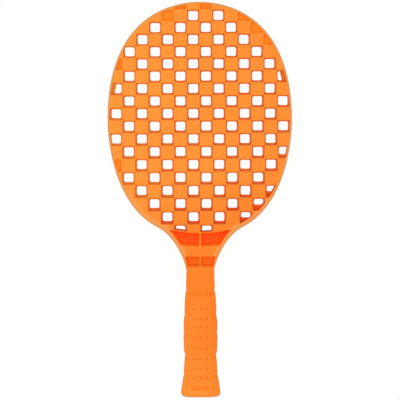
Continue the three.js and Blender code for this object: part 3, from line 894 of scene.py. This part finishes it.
def cutLattice(tree, give):
    # cuts sockets, cores and holes at the cell points out of the moulding, then the deeper hollows
    cells, flipped = shapeOf(tree, give["cells"]), (math.pi, 0.0, 0.0)
    stretch = firstOf(tree, "ShaderNodeCombineXYZ", {
        "X": ratio(tree, pointValue(tree, "cellWidth", "FLOAT"), give["cellWidth"]),
        "Y": ratio(tree, pointValue(tree, "cellHeight", "FLOAT"), give["cellWidth"]), "Z": 1.0})
    flare = plus(tree, give["lip"], give["over"])

    def pocket(depth):
        return plugNode(tree, give["cellWidth"], give["cellWidth"], give["pocketCorner"],
                        minus(tree, depth, give["lip"]), give["draft"], flare)

    def pocketsAt(shape, kind, comparison="EQUAL"):
        return atPoints(tree, cells, pointsWhere(tree, "cellKind", kind, comparison), shape, Scale=stretch)

    socketFloor = plus(tree, give["backHeight"], give["skin"])
    coreFloor = minus(tree, give["faceHeight"], give["skin"])
    blindFloor = minus(tree, give["faceHeight"], give["blindDepth"])
    behindFloor = minus(tree, blindFloor, give["skin"])
    behind = minus(tree, give["pocketDepth"], give["blindDepth"])
    deep = pocket(give["pocketDepth"])
    pockets = firstOf(tree, "GeometryNodeJoinGeometry", {"Geometry": [
        pocketsAt(moved(tree, deep, socketFloor), 2, "GREATER_EQUAL"),
        pocketsAt(moved(tree, deep, coreFloor, flipped), 0),
        pocketsAt(moved(tree, pocket(give["blindDepth"]), blindFloor), 1),
        pocketsAt(moved(tree, pocket(behind), behindFloor, flipped), 1)]})
    boreDepth = minus(tree, plus(tree, give["skin"], give["over"]), give["lip"])
    bore = plugNode(tree, give["holeWidth"], give["holeHeight"], give["holeCorner"], boreDepth, 0.0, flare)
    holeTop = plus(tree, socketFloor, give["over"])
    holes = atPoints(tree, cells, pointsWhere(tree, "cellKind", 3), moved(tree, bore, holeTop, flipped))
    room, tang, short, hollows, boss, screwHole = [shapeOf(tree, give[name]) for name in (
        "room", "tang", "shortHoles", "hollows", "boss", "screwHole")]
    inPockets = boolean(tree, "INTERSECT", None, [pockets, room])
    inHoles = boolean(tree, "INTERSECT", None, [holes, room])
    solid = boolean(tree, "UNION", None, [give["Geometry"], tang])
    pierced = boolean(tree, "DIFFERENCE", solid, [inPockets, inHoles, short, hollows])
    return boolean(tree, "DIFFERENCE", boolean(tree, "UNION", None, [pierced, boss]), [screwHole])


# body: the moulding's outside, its tang and the hollows inside

body = {
    "fillet": 1.5 * mm, "filletSteps": 5, "tangWall": 2.3 * mm, "sleeveWall": 1.6 * mm,
    "boreEndWall": 3 * mm, "keyHeight": 0.9 * mm, "keyLength": 3 * mm, "keyPlaceShares": [0.44, 0.89],
    "bossRadius": 3.9 * mm, "bossLength": 24 * mm, "capFloor": 6 * mm, "neckSteps": 24,
    "bevelPower": 3, "bevelRoundness": 0.8, "over": 1 * mm, "postSides": 32, "sharpDegrees": 28,
    "near": 0.1 * mm, "endNear": 0.5 * mm, "downward": -0.5,
}
grooves = [share * grip["topFromButt"] for share in grip["groovePlaceShares"]]
narrowest = min(grooveWidth(i) for i in range(lastGroove + 1))
tangWidth = narrowest - 2 * (body["sleeveWall"] + grip["clearance"])
tangThickness = sectionThickness(narrowest) - 2 * (body["sleeveWall"] + grip["clearance"])


def grooveDip(place, i):
    # share of a groove's depth at a place, 1 at its middle and 0 at its edges
    off = abs(place - grooves[i]) / grip["grooveHalfSpan"]
    return math.cos(off * math.pi / 2) ** 2 if off < 1 else 0


def neckWidth(place):
    # width of the neck between the throat and the first groove
    low = grooves[0] + grip["grooveHalfSpan"]
    share = min(max((outline["neckTopFromButt"] - place) / (outline["neckTopFromButt"] - low), 0), 1)
    wide = outline["neckTopWidth"] + (grip["neckEndWidth"] - outline["neckTopWidth"]) * share
    return wide - (wide - grooveWidth(0)) * grooveDip(place, 0)


def edgeLoop(samples, side, angle):
    # the loop round the plan at one angle of the rounded edge, which widens into a bevel along the neck
    loop = []
    for point, along in samples:
        bevel = rampShare(point.y) ** body["bevelPower"]
        deep = bodyDepth(point.y)
        if point.y < buttY + grooves[0] + grip["grooveHalfSpan"]:
            deep = sectionThickness(2 * point.x) / 2
        reach = body["fillet"] + (point.x * (1 - grip["facetShare"]) - body["fillet"]) * bevel
        fall = body["fillet"] + (deep * (1 - grip["sideShare"]) - body["fillet"]) * bevel
        power = 1 + body["bevelRoundness"] * bevel
        inset = reach * (1 - math.sin(angle) ** power)
        x, y = point.x + along.y * inset, point.y - along.x * inset
        if bevel == 0:
            deep = bodyDepth(y)
        loop.append(Vector((max(x, 0), y, midZ + side * (deep - fall * (1 - math.cos(angle) ** power)))))
    return loop + [Vector((-p.x, p.y, p.z)) for p in loop[:0:-1]]


def bodyShell():
    # loops round the whole plan, from the back's flat over the rounded edge to the front's flat
    samples = outlineSamples()
    drop = outline["neckTopFromButt"] - grooves[0] - grip["seam"] / 2
    for i in range(1, body["neckSteps"] + 1):
        place = outline["neckTopFromButt"] - drop * (1 - (1 - i / body["neckSteps"]) ** 2)
        samples.append((Vector((neckWidth(place) / 2, buttY + place)), Vector((0, -1))))
    steps = body["filletSteps"]
    points, faces = loft([edgeLoop(samples, side, math.pi / 2 * turn / steps)
                          for side, turns in ((-1, range(steps + 1)), (1, range(steps, -1, -1)))
                          for turn in turns])
    faces = faces[:-2]
    # the two flat sides are rows of quads from right to left instead
    count = 2 * len(samples) - 1
    for first in (0, len(points) - count):
        faces.append((first, first + 1, first + count - 1))
        for i in range(1, len(samples) - 1):
            faces.append((first + i, first + i + 1, first + count - i - 1, first + count - i))
    return meshObject("bodyShell", points, faces, facePlastic)


def roundCorners(plan, corner, steps=5):
    # a plan with an arc in place of each of its corners
    rounded = []
    for i, point in enumerate(plan):
        inwards = (plan[i - 1] - point).normalized()
        onwards = (plan[(i + 1) % len(plan)] - point).normalized()
        opening = inwards.angle(onwards)
        reach = corner / math.tan(opening / 2)
        centre = point + (inwards + onwards).normalized() * corner / math.sin(opening / 2)
        start, end = point + inwards * reach - centre, point + onwards * reach - centre
        rounded += [centre + start.lerp(end, step / steps).normalized() * corner for step in range(steps + 1)]
    return rounded


def octagonRing(place, width, thickness, corner=0):
    # a bevelled section across the handle, its corners rounded if a radius is given
    half, deep = width / 2, thickness / 2
    flat, side = grip["facetShare"] * half, grip["sideShare"] * deep
    plan = [Vector(p) for p in ((half, -side), (half, side), (flat, deep), (-flat, deep),
                                (-half, side), (-half, -side), (-flat, -deep), (flat, -deep))]
    if corner:
        plan = roundCorners(plan, corner)
    return [Vector((p.x, buttY + place, midZ + p.y)) for p in plan]


def tangRings(low, high, gap, corner=0):
    width, thickness, key = tangWidth + 2 * gap, tangThickness + 2 * gap, 2 * body["keyHeight"]
    foot = body["keyLength"] / 2 + body["keyHeight"] + gap
    crest = body["keyLength"] / 2 + gap
    stations = [(low, 0)]
    for place in [share * grip["topFromButt"] for share in body["keyPlaceShares"]]:
        stations += [(place - foot, 0), (place - crest, key), (place + crest, key), (place + foot, 0)]
    stations.append((high, 0))
    return [octagonRing(place, width + grow, thickness + grow, corner) for place, grow in stations]


def chamberShells():
    # two long chambers, left and right of the web
    half = tangWidth / 2 - body["tangWall"]
    deep = tangThickness / 2 - body["tangWall"]
    flat, side, web = grip["facetShare"] * half, grip["sideShare"] * deep, throat["middleRib"] / 2
    low = buttY + body["capFloor"] - body["over"]
    high = buttY + throat["lowerEndFromButt"] - body["boreEndWall"]
    plan = [(web, -deep), (flat, -deep), (half, -side), (half, side), (flat, deep), (web, deep)]
    return [loft([[Vector((s * x, y, midZ + z)) for x, z in plan] for y in (low, high)]) for s in (-1, 1)]


# the screw's sizes come before the body, because the body's boss and the cap's recess follow them
screw = {
    "radius": 1.75 * mm, "length": 18 * mm, "tip": 3 * mm, "headRadius": 3.8 * mm,
    "headHeight": 2.6 * mm, "recessDepth": 3.6 * mm, "driveLength": 4.4 * mm, "driveWidth": 1 * mm,
    "driveDepth": 1.4 * mm, "driveOver": 0.5 * mm, "driveMouthShare": 1.15, "driveFloorShare": 0.7,
    "threadHeight": 0.45 * mm, "threadPitch": 1.5 * mm, "threadSinkShare": 0.7, "plainShank": 2 * mm,
    "threadStart": 1.5 * mm, "point": 0.02 * mm, "crownSteps": 6, "crownHeight": 1.7 * mm,
    "crownPower": 0.8, "undercut": 1 * mm, "sides": 40, "turnSteps": 20,
    "ridgeSides": 3, "sharpDegrees": 35,
}


def paintBodyLightAndShade(piece, cells):
    # painted light and shade in the sockets, the red orange painted shade of the throat's windows, and
    # painted light in the blind sockets material 0 is the face's own, 1 the sockets', 2 the windows' and 3
    # the blind sockets'
    for material in (socketLightAndShadePlastic, recessShadePlastic, blindLightPlastic):
        piece.data.materials.append(material)
    near, step = body["near"], body["endNear"]
    rim = insetLine(lambda y: outline["rimWall"] - near)
    blinds = [(c["x"], c["y"], c["width"] / 2 + lattice["lip"], c["height"] / 2 + lattice["lip"])
              for c in cells if c["kind"] == 1]
    for face in piece.data.polygons:
        x, y, z = face.center
        if abs(x) > halfWidthAt(rim, y) or y < buttY + throat["lowerEndFromButt"] - step:
            continue
        if y < arcY(x, throat["ovalEndFromButt"], throat["ovalEndRadius"]) + step:
            if abs(z - midZ) < bodyDepth(y) - near:
                face.material_index = 2
        elif backZ + near < z < faceZ - near and face.normal.z > body["downward"]:
            inBlind = z > faceZ - lattice["blindDepth"] - near and any(
                abs(x - u) < halfWide and abs(y - v) < halfTall for u, v, halfWide, halfTall in blinds)
            face.material_index = 3 if inBlind else 1


def post(name, radius, low, high):
    return loftObject(name, lathe([(radius, low), (radius, high)], body["postSides"]))


def makeBody():
    cells = latticeCells()
    low = body["capFloor"] + grip["clearance"]
    values = {key: lattice[key] for key in (
        "blindDepth", "pocketCorner", "holeWidth", "holeHeight", "holeCorner", "skin", "lip", "over",
        "draft")}
    values.update({
        "cellWidth": lattice["firstColumnPitch"] - lattice["rib"],
        "pocketDepth": outline["headThickness"] - lattice["skin"], "faceHeight": faceZ, "backHeight": backZ,
        "cells": cellPoints(cells), "room": ovalRoom(), "shortHoles": shortHoles(cells),
        "tang": loftObject("tang", tangRings(low, grooves[0] + body["over"], 0)),
        "hollows": shellsObject("hollows", windowShells() + chamberShells()),
        "boss": post("boss", body["bossRadius"], low, low + body["bossLength"]),
        "screwHole": post("screwHole", screw["radius"] + grip["clearance"], low - body["over"],
                          screw["recessDepth"] + screw["length"] + grip["clearance"]),
        "material": facePlastic,
    })
    piece = bakePiece("racketBody", bodyShell(), cutLattice, values)
    finishShading(piece, body["sharpDegrees"])
    paintBodyLightAndShade(piece, cells)
    print("body made,", len(piece.data.polygons), "faces")
    return piece


racketBody = makeBody()

# grip sleeve, butt cap and the marks pressed into them

marks = {
    "rowShares": [0.978, 0.838, 0.745, 0.672, 0.573, 0.466, 0.37, 0.281, 0.191],
    "columnShares": [-0.64, 0, 0.64], "dimpleRadius": 1.25 * mm, "dimpleDepth": 0.9 * mm,
    "edgeDotX": 10 * mm, "bandLowFromButt": 8.9 * mm, "bandHighFromButt": 13.3 * mm,
    "bandWidthShare": 0.8, "bandDepth": 0.5 * mm, "bandCorner": 1.4 * mm, "bandFlare": 0.8 * mm,
    "bandReachShare": 1.2, "slopeStep": 0.5 * mm, "inside": 0.03 * mm, "ballSegments": 16, "ballRings": 10,
}
butt = {"width": 39.6 * mm, "round": 4.5 * mm, "faceRound": 8 * mm, "roundRun": 5.2 * mm, "roundSteps": 10}


def sleeveWidth(place):
    # width of the grip at a place: gentle swells between the grooves, and the grooves themselves
    for i in range(lastGroove):
        low, high = grooves[i + 1], grooves[i]
        if place >= low:
            break
    span = high - low - 2 * grip["grooveHalfSpan"]
    t = min(max((high - grip["grooveHalfSpan"] - place) / span, 0), 1)
    top, middle, end = [grip["width"] * grip[key][i] for key in
                        ("stretchTopShares", "stretchMiddleShares", "stretchEndShares")]
    wide = top * (1 - t) * (1 - 2 * t) + middle * 4 * t * (1 - t) + end * t * (2 * t - 1)
    for g in (i, i + 1):
        wide -= (wide - grooveWidth(g)) * grooveDip(place, g)
    return wide


def capWidth(place):
    # width of the butt cap above its rounded end: the flare, and its half of the last groove
    top = grooves[lastGroove] - grip["grooveHalfSpan"]
    share = min((place - butt["roundRun"]) / (top - butt["roundRun"]), 1)
    wide = butt["width"] + (grip["buttTopWidth"] - butt["width"]) * share
    return wide - (wide - grooveWidth(lastGroove)) * grooveDip(place, lastGroove)


def outerRing(place, widthAt):
    width = widthAt(place)
    return octagonRing(place, width, sectionThickness(width), grip["corner"])


def endRing(turn):
    # a ring of the butt's rounded end, which falls away further at the front and back than at the sides
    inset = 1 - math.sin(turn)
    return octagonRing(butt["roundRun"] * (1 - math.cos(turn)), butt["width"] - 2 * butt["round"] * inset,
                       sectionThickness(butt["width"]) - 2 * butt["faceRound"] * inset, grip["corner"])


def ringPlaces(low, high):
    # close together in the grooves, further apart between them
    places = [low, high]
    count = round((high - low) / grip["ringStep"])
    for i in range(1, count):
        place = low + (high - low) * i / count
        nearGroove = min(abs(place - g) for g in grooves) < grip["grooveHalfSpan"] + grip["ringStep"]
        if nearGroove or i % grip["plainEvery"] == 0:
            places.append(place)
    return sorted(places)


def sleeveShell():
    # a tube: up the outside, down the room for the tang
    low = grooves[lastGroove] + grip["seam"] / 2
    high = grooves[0] - grip["seam"] / 2
    outside = [outerRing(place, sleeveWidth) for place in ringPlaces(low, high)]
    inside = tangRings(low, high, grip["clearance"], grip["roomCorner"])
    return loftObject("sleeveShell", outside + inside[::-1], ringsClosed=True, material=gripRubber)


def capShell():
    # a cup: from the middle of the end face up the outside and down the seat for the tang
    high = grooves[lastGroove] - grip["seam"] / 2
    outside = [endRing(math.pi / 2 * i / butt["roundSteps"]) for i in range(butt["roundSteps"])]
    outside += [outerRing(place, capWidth) for place in ringPlaces(butt["roundRun"], high)]
    width, thickness = tangWidth + 2 * grip["clearance"], tangThickness + 2 * grip["clearance"]
    inside = [octagonRing(place, width, thickness, grip["roomCorner"]) for place in (high, body["capFloor"])]
    return loftObject("capShell", outside + inside, material=capPlastic)


def surfaceMark(place, x, side, widthAt, kind):
    # a point on the front or back facet, with the way that the facet faces
    step = marks["slopeStep"]
    z = [side * sectionThickness(widthAt(p)) / 2 for p in (place - step, place, place + step)]
    facing = Vector((0, -(z[2] - z[0]) * side, 2 * step * side)).normalized()
    return {"at": Vector((x, buttY + place, midZ + z[1])), "facing": facing, "kind": kind}


def bevelMark(place, x, side, widthAt):
    # a dot on the sloping facet beside the front or back one
    width = widthAt(place)
    half, deep = width / 2, sectionThickness(width) / 2
    flat, low = grip["facetShare"] * half, grip["sideShare"] * deep
    fall = (deep - low) / (half - flat)
    z = deep - (abs(x) - flat) * fall
    facing = Vector((math.copysign(fall, x), 0, side)).normalized()
    return {"at": Vector((x, buttY + place, midZ + side * z)), "facing": facing, "kind": 0}


def rowMarks(share, widthAt):
    # a row of dimples on the back and on the front
    place = share * grip["topFromButt"]
    facet = grip["facetShare"] * widthAt(place) / 2
    return [surfaceMark(place, column * facet, side, widthAt, 0)
            for side in (-1, 1) for column in marks["columnShares"]]


def sleeveMarks():
    made = [mark for share in marks["rowShares"][:-1] for mark in rowMarks(share, sleeveWidth)]
    top = marks["rowShares"][0] * grip["topFromButt"]
    return made + [bevelMark(top, x, side, sleeveWidth)
                   for side in (-1, 1) for x in (-marks["edgeDotX"], marks["edgeDotX"])]


def capMarks():
    band = (marks["bandLowFromButt"] + marks["bandHighFromButt"]) / 2
    return (rowMarks(marks["rowShares"][-1], capWidth)
            + [surfaceMark(band, 0, side, capWidth, 1) for side in (-1, 1)])


def markPoints(name, entries):
    made = meshObject(name, [e["at"] for e in entries], [])
    return setPointValues(made, {"facing": ("FLOAT_VECTOR", [e["facing"] for e in entries]),
                                 "markKind": ("INT", [e["kind"] for e in entries])})


def pressMarks(tree, give):
    # dimples and bands set at the marks, square to the surface, and cut out of the piece
    points = shapeOf(tree, give["marks"])
    turn = firstOf(tree, "FunctionNodeAlignRotationToVector", {
        "Vector": pointValue(tree, "facing", "FLOAT_VECTOR")}, axis="Z")
    ball = firstOf(tree, "GeometryNodeMeshUVSphere", {
        "Segments": marks["ballSegments"], "Rings": marks["ballRings"], "Radius": 1.0})
    squash = firstOf(tree, "ShaderNodeCombineXYZ", {
        "X": give["dimpleRadius"], "Y": give["dimpleRadius"], "Z": give["dimpleDepth"]})
    dimple = firstOf(tree, "GeometryNodeTransform", {"Geometry": ball, "Scale": squash})
    band = plugNode(tree, give["bandWidth"], give["bandHeight"], give["bandCorner"],
                    times(tree, give["bandDepth"], 0.5), 0.0, give["bandFlare"])
    sunk = moved(tree, band, times(tree, give["bandDepth"], -1.0))
    cutters = [atPoints(tree, points, pointsWhere(tree, "markKind", kind), shape, Rotation=turn)
               for kind, shape in ((0, dimple), (1, sunk))]
    if "bores" in give:
        cutters.append(shapeOf(tree, give["bores"]))
    return boolean(tree, "DIFFERENCE", give["Geometry"], cutters)


def colourMarks(piece, entries, bandHalf):
    # painted shade inside the dimples, material 1, and a darker tone in the sunk bands, material 2
    for material in (dimpleShadePlastic, bandPlastic):
        piece.data.materials.append(material)
    bandBox = (bandHalf, (marks["bandHighFromButt"] - marks["bandLowFromButt"]) / 2,
               marks["bandReachShare"] * marks["bandDepth"])
    for face in piece.data.polygons:
        for entry in entries:
            off = face.center - entry["at"]
            if off.dot(entry["facing"]) > -marks["inside"]:
                continue
            if entry["kind"] == 0 and off.length < marks["dimpleRadius"]:
                face.material_index = 1
            elif entry["kind"] == 1 and all(abs(way) < limit for way, limit in zip(off, bandBox)):
                face.material_index = 2


def makePressed(name, shell, entries, material, **helpers):
    values = {key: marks[key] for key in (
        "dimpleRadius", "dimpleDepth", "bandCorner", "bandDepth", "bandFlare")}
    values.update(
        helpers, marks=markPoints(name + "Marks", entries), material=material,
        bandWidth=marks["bandWidthShare"] * grip["facetShare"] * capWidth(marks["bandLowFromButt"]),
        bandHeight=marks["bandHighFromButt"] - marks["bandLowFromButt"])
    piece = bakePiece(name, shell, pressMarks, values)
    finishShading(piece, grip["sharpDegrees"])
    colourMarks(piece, entries, values["bandWidth"] / 2)
    print(name, "made,", len(piece.data.polygons), "faces")
    return piece


def capBores():
    # the recess for the screw's head and the hole for its shank
    wide, narrow = screw["headRadius"] + grip["clearance"], screw["radius"] + grip["clearance"]
    over = body["over"]
    profile = [(wide + over, -over), (wide, grip["roomCorner"]), (wide, screw["recessDepth"]),
               (narrow, screw["recessDepth"]), (narrow, body["capFloor"] + over)]
    return loftObject("capBores", lathe(profile, screw["sides"]))


gripSleeve = makePressed("gripSleeve", sleeveShell(), sleeveMarks(), gripRubber)
buttCap = makePressed("buttCap", capShell(), capMarks(), capPlastic, bores=capBores())

# screw


def screwShell():
    # domed pan head and shank, turned round the handle's axis
    seat = screw["recessDepth"] - grip["clearance"]
    crown = seat - screw["headHeight"]
    core = screw["radius"] - screw["threadHeight"]
    end = seat + screw["length"]
    profile = [(screw["point"], crown)]
    for i in range(1, screw["crownSteps"] + 1):
        turn = math.pi / 2 * i / screw["crownSteps"]
        profile.append((screw["headRadius"] * math.sin(turn) ** screw["crownPower"],
                        crown + screw["crownHeight"] * (1 - math.cos(turn))))
    profile += [(screw["headRadius"], seat), (screw["radius"], seat), (core, seat + screw["undercut"]),
                (core, end - screw["tip"]), (screw["point"], end)]
    return loftObject("screwShell", lathe(profile, screw["sides"]), material=screwSteel)


def driveCutters():
    # the two bars of a cross recess with sloping walls
    crown = buttY + screw["recessDepth"] - grip["clearance"] - screw["headHeight"]
    length, width = screw["driveLength"] / 2, screw["driveWidth"] / 2
    bars = []
    for turned in (False, True):
        rings = []
        for y, share in ((crown - screw["driveOver"], screw["driveMouthShare"]),
                         (crown + screw["driveDepth"], screw["driveFloorShare"])):
            plan = [(length * share, width * share), (-length * share, width * share),
                    (-length * share, -width * share), (length * share, -width * share)]
            rings.append([Vector((b, y, midZ + a)) if turned else Vector((a, y, midZ + b)) for a, b in plan])
        bars.append(loftObject("drive", rings))
    return bars


def threadScrew(tree, give):
    # a thread wound up the shank as a spiral, joined on, and the cross recess cut out
    spiral = firstOf(tree, "GeometryNodeCurveSpiral", {
        "Resolution": screw["turnSteps"], "Rotations": give["turns"], "Start Radius": give["threadRadius"],
        "End Radius": give["threadRadius"], "Height": give["threadRun"]})
    profile = firstOf(tree, "GeometryNodeCurvePrimitiveCircle", {
        "Resolution": screw["ridgeSides"], "Radius": give["ridgeRadius"]})
    ridge = firstOf(tree, "GeometryNodeCurveToMesh", {
        "Curve": spiral, "Profile Curve": profile, "Fill Caps": True})
    upright = firstOf(tree, "GeometryNodeTransform", {
        "Geometry": ridge, "Translation": give["start"], "Rotation": (-math.pi / 2, 0.0, 0.0)})
    drives = [shapeOf(tree, give[name]) for name in ("driveOne", "driveTwo")]
    threaded = boolean(tree, "UNION", None, [give["Geometry"], upright], "EXACT")
    return boolean(tree, "DIFFERENCE", threaded, drives, "EXACT")


def makeScrew():
    run = screw["length"] - screw["tip"] - screw["plainShank"]
    seat = screw["recessDepth"] - grip["clearance"]
    sink = screw["threadSinkShare"] * screw["threadHeight"]
    driveOne, driveTwo = driveCutters()
    piece = bakePiece("capScrew", screwShell(), threadScrew, {
        "driveOne": driveOne, "driveTwo": driveTwo, "turns": run / screw["threadPitch"],
        "threadRadius": screw["radius"] - sink, "ridgeRadius": sink, "threadRun": run,
        "start": (0, buttY + seat + screw["threadStart"], midZ), "material": screwSteel})
    finishShading(piece, screw["sharpDegrees"])
    print("screw made,", len(piece.data.polygons), "faces")
    return piece


capScrew = makeScrew()

# floor and light

studio = {
    "floorSize": 6.0, "floorColour": (250, 250, 250), "floorGlow": 0.96,
    "skyStrength": 0.72, "lampPower": 15, "lampSize": 1.4, "lampPlace": (-0.12, 0.1, 2.0),
}


def makeFloor():
    # pale floor under the butt; it looks near white to the camera and still takes the shadow
    size, low = studio["floorSize"] / 2, cadBox[0][2]
    corners = [(x * size, y * size, low) for x, y in ((-1, -1), (1, -1), (1, 1), (-1, 1))]
    floor = meshObject("floor", corners, [(0, 1, 2, 3)])
    material = bpy.data.materials.new("pale floor")
    material.use_nodes = True
    tree = material.node_tree
    tree.nodes.clear()
    paint = firstOf(tree, "ShaderNodeBsdfDiffuse", {"Color": srgb(*studio["floorColour"])})
    glow = firstOf(tree, "ShaderNodeEmission", {"Color": (1.0, 1.0, 1.0, 1.0), "Strength": 1.0})
    path = tree.nodes.new("ShaderNodeLightPath")
    seen = plus(tree, path.outputs["Is Camera Ray"], path.outputs["Is Glossy Ray"])
    seen = plus(tree, seen, path.outputs["Is Transmission Ray"])
    share = times(tree, calculate(tree, "MINIMUM", seen, 1.0), studio["floorGlow"])
    mix = firstOf(tree, "ShaderNodeMixShader", {"Fac": share, 1: paint, 2: glow})
    addNode(tree, "ShaderNodeOutputMaterial", {"Surface": mix})
    floor.data.materials.append(material)


def makeLight():
    world = bpy.data.worlds.new("studio")
    bpy.context.scene.world = world
    world.use_nodes = True
    sky = world.node_tree.nodes["Background"]
    sky.inputs["Color"].default_value = (1.0, 1.0, 1.0, 1.0)
    sky.inputs["Strength"].default_value = studio["skyStrength"]
    lamp = bpy.data.lights.new("softbox", "AREA")
    lamp.energy = studio["lampPower"]
    lamp.size = studio["lampSize"]
    holder = bpy.data.objects.new("softbox", lamp)
    holder.location = studio["lampPlace"]
    holder.rotation_euler = (-Vector(studio["lampPlace"])).to_track_quat("-Z", "Y").to_euler()
    bpy.context.scene.collection.objects.link(holder)


makeFloor()
makeLight()
bpy.context.scene.view_settings.view_transform = "Standard"
print("floor and light placed")

# what each piece stands for

for piece, node, slot in (
        (racketBody, "racket_body", "body_plastic"), (gripSleeve, "grip_sleeve", "grip_rubber"),
        (buttCap, "butt_cap", "cap_plastic"), (capScrew, "cap_screw", "screw_steel")):
    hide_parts(node)
    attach(piece, "root")
